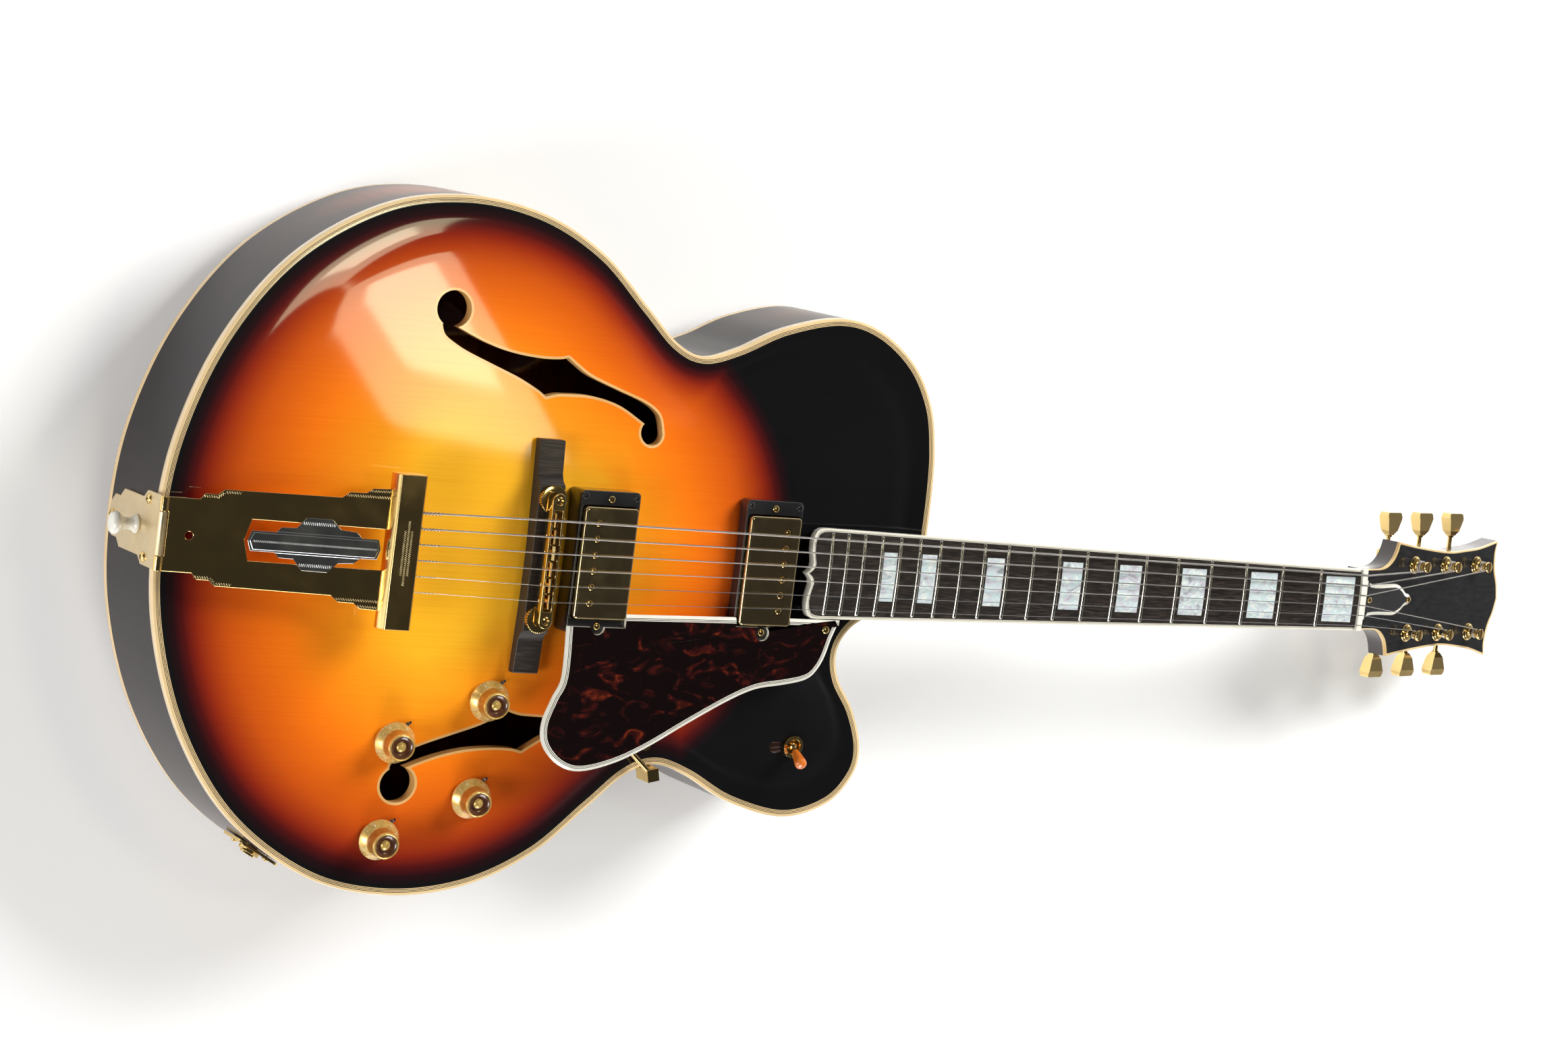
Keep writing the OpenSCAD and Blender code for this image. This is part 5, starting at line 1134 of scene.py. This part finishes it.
# The pickups: two coils under a gold-plated cover each, hung in a tall black plastic ring that
# is curved to the top and screwed to it. Six slotted screws come up through each cover.
pickup_frames = []
for x, height in ((38.7, 30.9), (159.0, 24.1)):
    tilt = Matrix.Rotation(math.radians(3.22082), 4, "Y")
    pickup_frames.append(place_on_bridge() @ shift(x, 0, height) @ tilt)
refined("pickup_rings", "plastic_rings", black_paint, "black_plastic", 0.8, angle=40, segments=3, clamp=False)
cover_paint = plated("worn_gold_cover", (0.80, 0.62, 0.33), 0.13, 90.0, 0.8)


def round_rectangle(half_x, half_y, radius, steps=7):
    """Anticlockwise rectangle with round corners, in mm."""
    loop = []
    for quarter, (sx, sy) in enumerate(((1, 1), (-1, 1), (-1, -1), (1, -1))):
        for k in range(steps + 1):
            a = math.pi / 2 * (quarter + k / steps)
            loop.append((
                sx * (half_x - radius) + radius * math.cos(a),
                sy * (half_y - radius) + radius * math.sin(a),
            ))
    return np.array(loop)


for word, pickup, side in (("bridge", pickup_frames[0], -1), ("neck", pickup_frames[1], 1)):
    cover = layered_plate(
        "metal_cover_" + word, round_rectangle(19.05, 35.1, 2.6),
        [(0, -12.15), (0, 2.2), (0.10, 2.75), (0.38, 3.25), (0.80, 3.6), (1.35, 3.77), (2.0, 3.8)],
        pickup, [(cover_paint, 0)] * 7, "gold", "pickup_covers",
    )
    for i in range(6):
        cutter = prism("pole_hole", circle(side * 9, 10 * (i - 2.5), 2.65, 28), -2, 6)
        cutter.data.transform(pickup)
        shape_with(cover, cutter, "DIFFERENCE")
    level_normals(cover)
dress("pickup_coils", black_paint)
pole = slotted_head(2.4, 1.5, 0.6)
poles = []
for pickup, side in zip(pickup_frames, (-1, 1)):
    for i in range(6):
        turn = Matrix.Rotation(math.radians(20 + 47 * i + 30 * side), 4, "Z")
        poles.append(moved_copy(pole, "pole_copy", pickup @ shift(side * 9, 10 * (i - 2.5), 2.7) @ turn))
bpy.data.objects.remove(pole)
shank = turned("shank", [(0, -16.6), (0.9, -16.6), (1.2, -16.2), (1.2, 2.8), (0, 2.8)], steps=16)
for pickup, side in zip(pickup_frames, (-1, 1)):
    for i in range(6):
        poles.append(moved_copy(shank, "shank_copy", pickup @ shift(side * 9, 10 * (i - 2.5), 0)))
bpy.data.objects.remove(shank)
finish_piece(joined("pole_pieces", poles), gold_paint, "gold", "pole_screws", angle=40)


# The pickguard: a floating sheet of tortoiseshell plastic, edged with white and black layers.
# One screw holds it over a block at the neck, and a gold bracket carries it from the side.
guard_curve = [
    (217.3, -29.8), (212.8, -41.1), (209.4, -52.6), (206, -60), (200.6, -66.5), (193, -70),
    (178.8, -72.8), (159.5, -76), (139.9, -84.2), (112.1, -99.3), (84.7, -115), (61.5, -125.4),
    (38.4, -130.6), (22.5, -126.6), (10.4, -114.9), (7.9, -101), (13, -85), (18.2, -71.5),
    (17.3, -40.5),
]
place_on_strings = place_on_bridge() @ shift(0, 0, 39.5) @ Matrix.Rotation(
    math.radians(3.22082), 4, "Y"
)
guard_line = smooth_line(guard_curve, 5)
for x0, x1, step in ((17.3, 58, 8), (58, 182, 25), (182, 217.3, 8)):
    y0, y1 = {17.3: (-31.4, -31.4), 58: (-31.4, -29.8), 182: (-29.8, -29.8)}[x0]
    guard_line += [(x0 + (x1 - x0) * k / step, y0 + (y1 - y0) * k / step) for k in range(step)]
guard_loop = np.array(guard_line)[::-1]
tortoise_paint, nodes, links, shader = new_paint("tortoiseshell", (0.02, 0.003, 0.003), 0.2)
flakes = grain(nodes, links, 60.0, (1, 1.6, 1), 5, 1.4)
clouds = ramp(
    nodes, links, flakes,
    [(0.54, (0.005, 0.002, 0.002)), (0.60, (0.016, 0.003, 0.003)), (0.66, (0.045, 0.006, 0.004)),
     (0.72, (0.15, 0.020, 0.006)), (0.78, (0.035, 0.005, 0.004))],
)
links.new(clouds, shader.inputs["Base Color"])
shader.inputs["Coat Weight"].default_value = 1.0
shader.inputs["Coat Roughness"].default_value = 0.03
shader.inputs["Specular IOR Level"].default_value = 0.1
TOP_FACE = -3.5
guard = layered_plate(
    "layered_pickguard", guard_loop,
    [(0.25, TOP_FACE - 2.5), (0, TOP_FACE - 2.3), (0, TOP_FACE - 1.5), (1.9, TOP_FACE - 0.35),
     (2.3, TOP_FACE - 0.25), (2.8, TOP_FACE - 0.15), (3.2, TOP_FACE - 0.1), (3.7, TOP_FACE - 0.02),
     (4.2, TOP_FACE)],
    place_on_strings,
    [(white_paint, 0), (white_paint, 0), (white_paint, 0), (black_paint, 1), (white_paint, 0),
     (black_paint, 1), (white_paint, 0), (tortoise_paint, 2), (tortoise_paint, 2)],
    "tortoise", "pickguard",
)
REAR_X, FRONT_X = 38.7, 159.0
for x0, x1, y0 in ((REAR_X - 31.05, REAR_X + 19.65, -40), (FRONT_X - 20.05, FRONT_X + 20.05, -36.1)):
    cutter = box_tool("guard_cut", x0, x1, y0, -20, -10, 4)
    cutter.data.transform(place_on_strings)
    shape_with(guard, cutter, "DIFFERENCE")
for x in (REAR_X, FRONT_X):
    cutter = prism("guard_notch", circle(x, -39.8, 5, 32), -10, 4)
    cutter.data.transform(place_on_strings)
    shape_with(guard, cutter, "DIFFERENCE")
level_normals(guard)
refined("pickguard_block", "guard_block", black_paint, "black_plastic", 0.4)
refined("pickguard_bracket", "guard_bracket", gold_paint, "gold", 0.35)

# The screws: small round-headed wood screws with crossed slots, gold-plated, and black ones at
# the corners of the pickup rings.
def crossed_screw(head_radius, shank_radius, length, high=0.55):
    """Domed screw head with a crossed recess, and its shank below the plane."""
    r, h = head_radius, head_radius * high
    shape = [(0, -length), (0.5 * shank_radius, -length), (shank_radius, 1.5 * shank_radius - length),
             (shank_radius, 0.02), (r, 0.02), (r, 0.3 * h), (0.94 * r, 0.52 * h), (0.8 * r, 0.74 * h),
             (0.55 * r, 0.92 * h), (0.28 * r, h), (0, h)]
    screw = turned("screw", shape, steps=28)
    for turn in (0, 90):
        bpy.ops.mesh.primitive_cube_add(size=1)
        cutter = bpy.context.object
        size = (0.24 * r / 1000, 1.15 * r / 1000, 0.9 * h / 1000, 1)
        spin = Matrix.Rotation(math.radians(turn + 1), 4, "Z")
        cutter.data.transform(spin @ shift(0, 0, 0.95 * h) @ Matrix.Diagonal(size))
        shape_with(screw, cutter, "DIFFERENCE")
    return screw


def set_screws(name, paint, slot, screw, places, *nodes):
    """One screw shape driven at several places, each with its slots another way round."""
    copies = []
    for k, place in enumerate(places):
        turn = Matrix.Rotation(math.radians(37 * k + 12), 4, "Z")
        copies.append(moved_copy(screw, "screw_copy", place @ turn))
    bpy.data.objects.remove(screw)
    finish_piece(joined(name, copies), paint, slot, *nodes, angle=40)


corner_places, height_places = [], []
for pickup, reach in zip(pickup_frames, (12, 9)):
    corner_places += [
        pickup @ shift(x, y, -0.35 if y > 0 else -0.9) for x in (-18.2, 18.2) for y in (-41.2, 41.2)
    ]
    height_places += [pickup @ shift(0, y, 0.05) for y in (-39.8, 39.8)]
set_screws("ring_screws", black_paint, "gold", crossed_screw(2.3, 1.05, 9, 0.42), corner_places, "screws")
set_screws("height_screws", gold_paint, "gold", crossed_screw(2.3, 1.2, 14), height_places, "screws")
set_screws(
    "cover_screws", gold_paint, "gold", crossed_screw(2.2, 1.1, 4.5),
    [place_on_head() @ shift(x, 0, 2.55) for x in (7.5, 56)], "screws",
)
set_screws(
    "guard_screw", gold_paint, "gold", crossed_screw(2.6, 1.4, 7),
    [place_on_strings @ shift(206.5, -36, TOP_FACE)], "screws",
)
bracket_face = shift(TAIL_X - 0.05 - BRACKET_T, 0, TOP_Z) @ Matrix.Rotation(
    math.radians(-90), 4, "Y"
)
set_screws(
    "bracket_screws", gold_paint, "gold", crossed_screw(3.2, 1.5, 4.3),
    [bracket_face @ shift(z, y, 0) for y, z in ((17.4, -12), (-17.4, -12), (0, -70))], "screws",
)


# The controls: four bell-shaped knobs, gold under clear plastic, with a raised brown dish and
# numbers on the skirt. Each is pushed on its shaft over a hexagon nut and a silver pointer.
def place_at_control(k):
    x, y, z, slope_x, slope_y = control_places[k]
    turn = Matrix.Rotation(-math.atan(slope_x), 4, "Y") @ Matrix.Rotation(math.atan(slope_y), 4, "X")
    return shift(x, y, z) @ turn


def under_clear(name, colour, other, metal, rough):
    """Paint seen through clear plastic: soft metallic flecks under a glossy skin."""
    paint, nodes, links, shader = new_paint(name, colour, rough, metal)
    flecks = ramp(
        nodes, links, grain(nodes, links, 500.0, detail=4), [(0.3, tuple(other)), (0.65, tuple(colour))]
    )
    links.new(flecks, shader.inputs["Base Color"])
    shader.inputs["Coat Weight"].default_value = 1.0
    shader.inputs["Coat Roughness"].default_value = 0.04
    return paint


knob_gold_paint = under_clear("knob_gold", (0.86, 0.58, 0.17), (0.66, 0.40, 0.09), 0.55, 0.30)
knob_side_paint = under_clear("knob_amber", (0.52, 0.25, 0.045), (0.36, 0.15, 0.025), 0.35, 0.32)
knob_brown_paint = under_clear("knob_brown", (0.075, 0.022, 0.008), (0.13, 0.045, 0.014), 0.1, 0.3)
mark_paint = plastic("pale_numbers", (0.86, 0.80, 0.58), (0.78, 0.70, 0.46), 0.3, 200.0)
knob_shape = [
    (0, -3), (3, -3), (3, 3.4), (8.3, 3.4), (8.3, 1.0), (12.6, 1.0), (12.9, 1.15), (13, 1.4),
    (12.95, 2.1), (12.7, 2.5), (10.0, 5.4), (9.3, 6.2), (9.0, 7.0), (8.8, 10), (8.6, 13.4),
    (8.45, 14.3), (8.1, 14.8), (7.6, 14.95), (7.2, 14.8), (6.9, 14.2), (6.5, 13.6), (5.0, 12.9),
    (3.8, 12.7), (3.2, 12.9), (2.9, 13.5), (2.3, 14.05), (1.3, 14.35), (0, 14.45),
]
knob = turned("knob", knob_shape, steps=64)
for face in knob.data.polygons:
    x, y, z = (1000 * c for c in face.center)
    reach = math.hypot(x, y)
    if z > 12.6 and 3.2 < reach < 7.1:
        face.material_index = 2
    elif 8.5 < reach < 9.5 and 5.6 < z < 13.8:
        face.material_index = 1


def number_on_skirt(word, angle, reach, height, size):
    """One number, upright when its side of the knob is nearest, lying on the skirt's slope."""
    bpy.ops.object.select_all(action="DESELECT")
    bpy.ops.object.text_add(location=(0, 0, 0))
    text = bpy.context.object
    text.data.body = word
    text.data.size = size / 1000
    text.data.align_x, text.data.align_y = "CENTER", "CENTER"
    text.data.extrude = 0.00004
    text.data.resolution_u = 3
    bpy.ops.object.convert(target="MESH")
    text = bpy.context.object
    a = math.radians(angle)
    up = Vector((-0.682 * math.cos(a), -0.682 * math.sin(a), 0.731))
    out = Vector((0.731 * math.cos(a), 0.731 * math.sin(a), 0.682))
    turn = Matrix((up.cross(out), up, out)).transposed().to_4x4()
    text.data.transform(shift(reach * math.cos(a), reach * math.sin(a), height) @ turn)
    return text


marks = []
for n in range(11):
    marks.append(number_on_skirt(str(n), 118 + 30 * n, 11.15, 4.22, 2.5))
for n in range(31):
    bpy.ops.mesh.primitive_cube_add(size=1)
    tick = bpy.context.object
    slope = Matrix.Rotation(math.radians(47), 4, "Y")
    turn = Matrix.Rotation(math.radians(118 + 10 * n), 4, "Z")
    tick.data.transform(
        turn @ shift(12.72, 0, 2.50) @ slope @ Matrix.Diagonal((0.0008, 0.00016, 0.00012, 1))
    )
    marks.append(tick)
marks = joined("marks", marks)
for k in range(4):
    body = "knob_" + str(k + 1)
    turned_knob = moved_copy(knob, "bell_knob_" + str(k + 1), place_at_control(k))
    kinds = [face.material_index for face in turned_knob.data.polygons]
    finish_piece(turned_knob, knob_gold_paint, "knob_gold", body, body=body, angle=35)
    turned_knob.data.materials.append(knob_side_paint)
    turned_knob.data.materials.append(knob_brown_paint)
    turned_knob.data.polygons.foreach_set("material_index", kinds)
    numbers = moved_copy(marks, "knob_numbers_" + str(k + 1), place_at_control(k))
    finish_piece(numbers, mark_paint, "knob_gold", body=body, angle=30)
bpy.data.objects.remove(knob)
bpy.data.objects.remove(marks)
refined("pots", "pots_and_pointers", silver_paint, "silver", 0.2, angle=40)
tips = []
for k in range(4):
    tip = prism("tip", [(14.2, -0.95), (15.8, -0.6), (15.8, 0.6), (14.2, 0.95)], 0.7, 2.0)
    for point in tip.data.vertices:
        if point.co.z > 0.0015:
            point.co.x += 0.0004
    tip.data.transform(place_at_control(k) @ Matrix.Rotation(math.radians(58), 4, "Z"))
    tips.append(tip)
finish_piece(joined("pointer_tips", tips), silver_paint, "silver")

# The pickup switch: a knurled gold nut on the upper bout, and a ball-ended lever in it with a
# moulded amber tip.
refined("switch_body", "knurled_nut", gold_paint, "gold", 0.15, angle=25)
lever_place = (
    place_at_control(4) @ shift(0, 0, 1.5) @ Matrix.Rotation(math.radians(-106), 4, "Z")
    @ Matrix.Rotation(math.radians(25), 4, "Y")
)
ball = [(2.6 * math.cos(math.radians(t)), 2.6 * math.sin(math.radians(t))) for t in range(-90, 55, 10)]
ball[0] = (0, -2.6)
stem = turned("lever_ball", ball + [(1.5, 2.4), (1.45, 5.8), (0, 5.8)], lever_place)
finish_piece(stem, gold_paint, "gold", "switch_lever", body="lever", angle=40)
amber_paint, nodes, links, shader = new_paint("amber_tip", (0.72, 0.18, 0.015), 0.25)
amber_tone = ramp(
    nodes, links, grain(nodes, links, 120.0, detail=3), [(0.3, (0.60, 0.13, 0.012)), (0.7, (0.78, 0.20, 0.025))]
)
links.new(amber_tone, shader.inputs["Base Color"])
shader.inputs["Coat Weight"].default_value = 1.0
shader.inputs["Coat Roughness"].default_value = 0.04
tip_shape = [
    (0, 5.3), (2.15, 5.4), (2.35, 5.7), (2.6, 7), (3.1, 10.3), (3.6, 13.8), (3.9, 16.0), (3.9, 17.3),
    (3.6, 18.4), (3.0, 19.2), (2.0, 19.7), (0, 19.9),
]
lever_tip = turned("lever_tip", tip_shape, lever_place)
finish_piece(lever_tip, amber_paint, "amber_plastic", "switch_lever", body="lever", angle=60)

# The output socket: a square gold plate with round corners on the treble side of the tail, a
# threaded barrel through it and a hexagon nut. Four screws hold it.
refined("jack_plate", "socket_plate", gold_paint, "gold", 0.35, angle=30)
place_at_jack = (
    shift(-418.786, -196.69, 61) @ Matrix.Rotation(math.radians(-119.869), 4, "Z")
    @ Matrix.Rotation(math.radians(90), 4, "Y")
)
jack_places = [
    place_at_jack @ Matrix.Rotation(math.radians(a), 4, "Z") @ shift(12, 0, 2.1)
    for a in (45, 135, 225, 315)
]
set_screws("socket_screws", gold_paint, "gold", crossed_screw(2, 1, 2.2), jack_places, "screws")
foot_place = (
    shift(-177.244, -131.761, TOP_Z) @ Matrix.Rotation(math.radians(-77.0151), 4, "Z")
    @ shift(0.55 + 1.5, 0, -32) @ Matrix.Rotation(math.radians(90), 4, "Y")
)
set_screws("foot_screw", gold_paint, "gold", crossed_screw(2.2, 1.2, 1.8), [foot_place], "screws")


# The strings: four wound with flat nickel wire and two of plain steel. Each is twisted round its
# ball end at the crossbar, passes the saddle and the nut, and is wound down its post.
STRING_R = (0.62, 0.5, 0.4, 0.3, 0.22, 0.18)
WAIST, WIND_TOP = 2.6, 8.2


def fan(spread, i):
    return spread * (0.5 - i / 5)


def camber(y):
    return y * y / 610


def string_route(i):
    """Points that one string passes, in mm, with a row of them for its turns on the post."""
    side = 1 if i < 3 else -1
    post_x = FIRST_POST + POST_PITCH * (i if i < 3 else 5 - i)
    reach = WAIST + 0.15 + STRING_R[i]
    drop = 2 * STRING_R[i] + 0.45
    start = math.atan((POST_Y - reach - side * fan(35.5, i)) / post_x) - math.pi / 2
    tail = (TAIL_X + 133.88 + 15.5, fan(48.2, i), TOP_Z + 30.8)
    saddle_y, nut_y = fan(BRIDGE_SPREAD, i), fan(35.5, i)
    saddle = (BRIDGE_X + SADDLE_SET[i], saddle_y, TOP_Z + 39.5 - camber(saddle_y))
    nut = place_on_neck() @ Vector((0.0046, nut_y / 1000, (1.9 - camber(nut_y)) / 1000)) * 1000
    route = [Vector(tail), Vector(saddle), nut]
    for k in range(61):
        turn = start + 2 * math.pi * k / 24
        place = Vector((
            post_x + reach * math.cos(turn), side * (POST_Y + reach * math.sin(turn)),
            WIND_TOP - STRING_R[i] - drop * k / 24,
        ))
        route.append(place_on_head() @ (place / 1000) * 1000)
    return route


def wire(name, route, radius, sides=10):
    """Round wire along points, closed at both ends, with its length in mm on each point."""
    points, lengths, faces, gone = [], [], [], 0
    for k, place in enumerate(route):
        along = (route[min(k + 1, len(route) - 1)] - route[max(k - 1, 0)]).normalized()
        across = along.cross(Vector((0, 0, 1))).normalized()
        up = across.cross(along)
        gone += (place - route[k - 1]).length if k else 0
        for n in range(sides):
            a = 2 * math.pi * n / sides
            points.append(place + radius * (math.cos(a) * across + math.sin(a) * up))
            lengths.append(gone)
    for k in range(len(route) - 1):
        for n in range(sides):
            m = (n + 1) % sides
            faces.append((k * sides + n, (k + 1) * sides + n, (k + 1) * sides + m, k * sides + m))
    faces.append(tuple(range(sides)))
    faces.append(tuple((len(route) - 1) * sides + n for n in range(sides))[::-1])
    piece = add_mesh(name, points, faces)
    piece.data.attributes.new("along", "FLOAT", "POINT").data.foreach_set("value", lengths)
    return piece


def wound_paint(name, colour, rough, pitch):
    """Metal wire wrapped round a core, with its turns as relief along the string."""
    paint, nodes, links, shader = new_paint(name, colour, rough, 1.0)
    tone = ramp(
        nodes, links, grain(nodes, links, 900.0, detail=3),
        [(0.3, tuple(0.8 * c for c in colour)), (0.7, tuple(colour))],
    )
    links.new(tone, shader.inputs["Base Color"])
    along = nodes.new("ShaderNodeAttribute")
    along.attribute_name = "along"
    turns = nodes.new("ShaderNodeMath")
    turns.operation = "MULTIPLY"
    turns.inputs[1].default_value = 2 * math.pi / pitch
    links.new(along.outputs["Fac"], turns.inputs[0])
    swell = nodes.new("ShaderNodeMath")
    swell.operation = "SINE"
    links.new(turns.outputs[0], swell.inputs[0])
    bumped(nodes, links, shader, swell.outputs[0], 0.6, 0.05)
    return paint


nickel_wire_paint = wound_paint("nickel_winding", (0.82, 0.78, 0.74), 0.30, 0.5)
plain_wire_paint = wound_paint("plain_steel", (0.84, 0.84, 0.84), 0.20, 40.0)
for i in range(6):
    route = string_route(i)
    string = wire("string_" + str(i + 1), route, STRING_R[i])
    paint = nickel_wire_paint if i < 4 else plain_wire_paint
    finish_piece(string, paint, "steel", "strings", angle=60)
    along = (route[1] - route[0]).normalized()
    across = along.cross(Vector((0, 0, 1))).normalized()
    up = across.cross(along)
    lock, twist = STRING_R[i] * 0.8 + 0.12, []
    for k in range(73):
        a = 2 * math.pi * k / 12
        offset = (STRING_R[i] + 0.6 * lock) * (1 if k < 60 else 1 - 0.04 * (k - 60))
        ring = offset * (math.cos(a) * across + math.sin(a) * up)
        twist.append(route[0] + along * (5.2 + 0.19 * k) + ring)
    lock_wrap = wire("lock_twist_" + str(i + 1), twist, lock / 2 + 0.08, 7)
    finish_piece(lock_wrap, plain_wire_paint, "steel", angle=60)
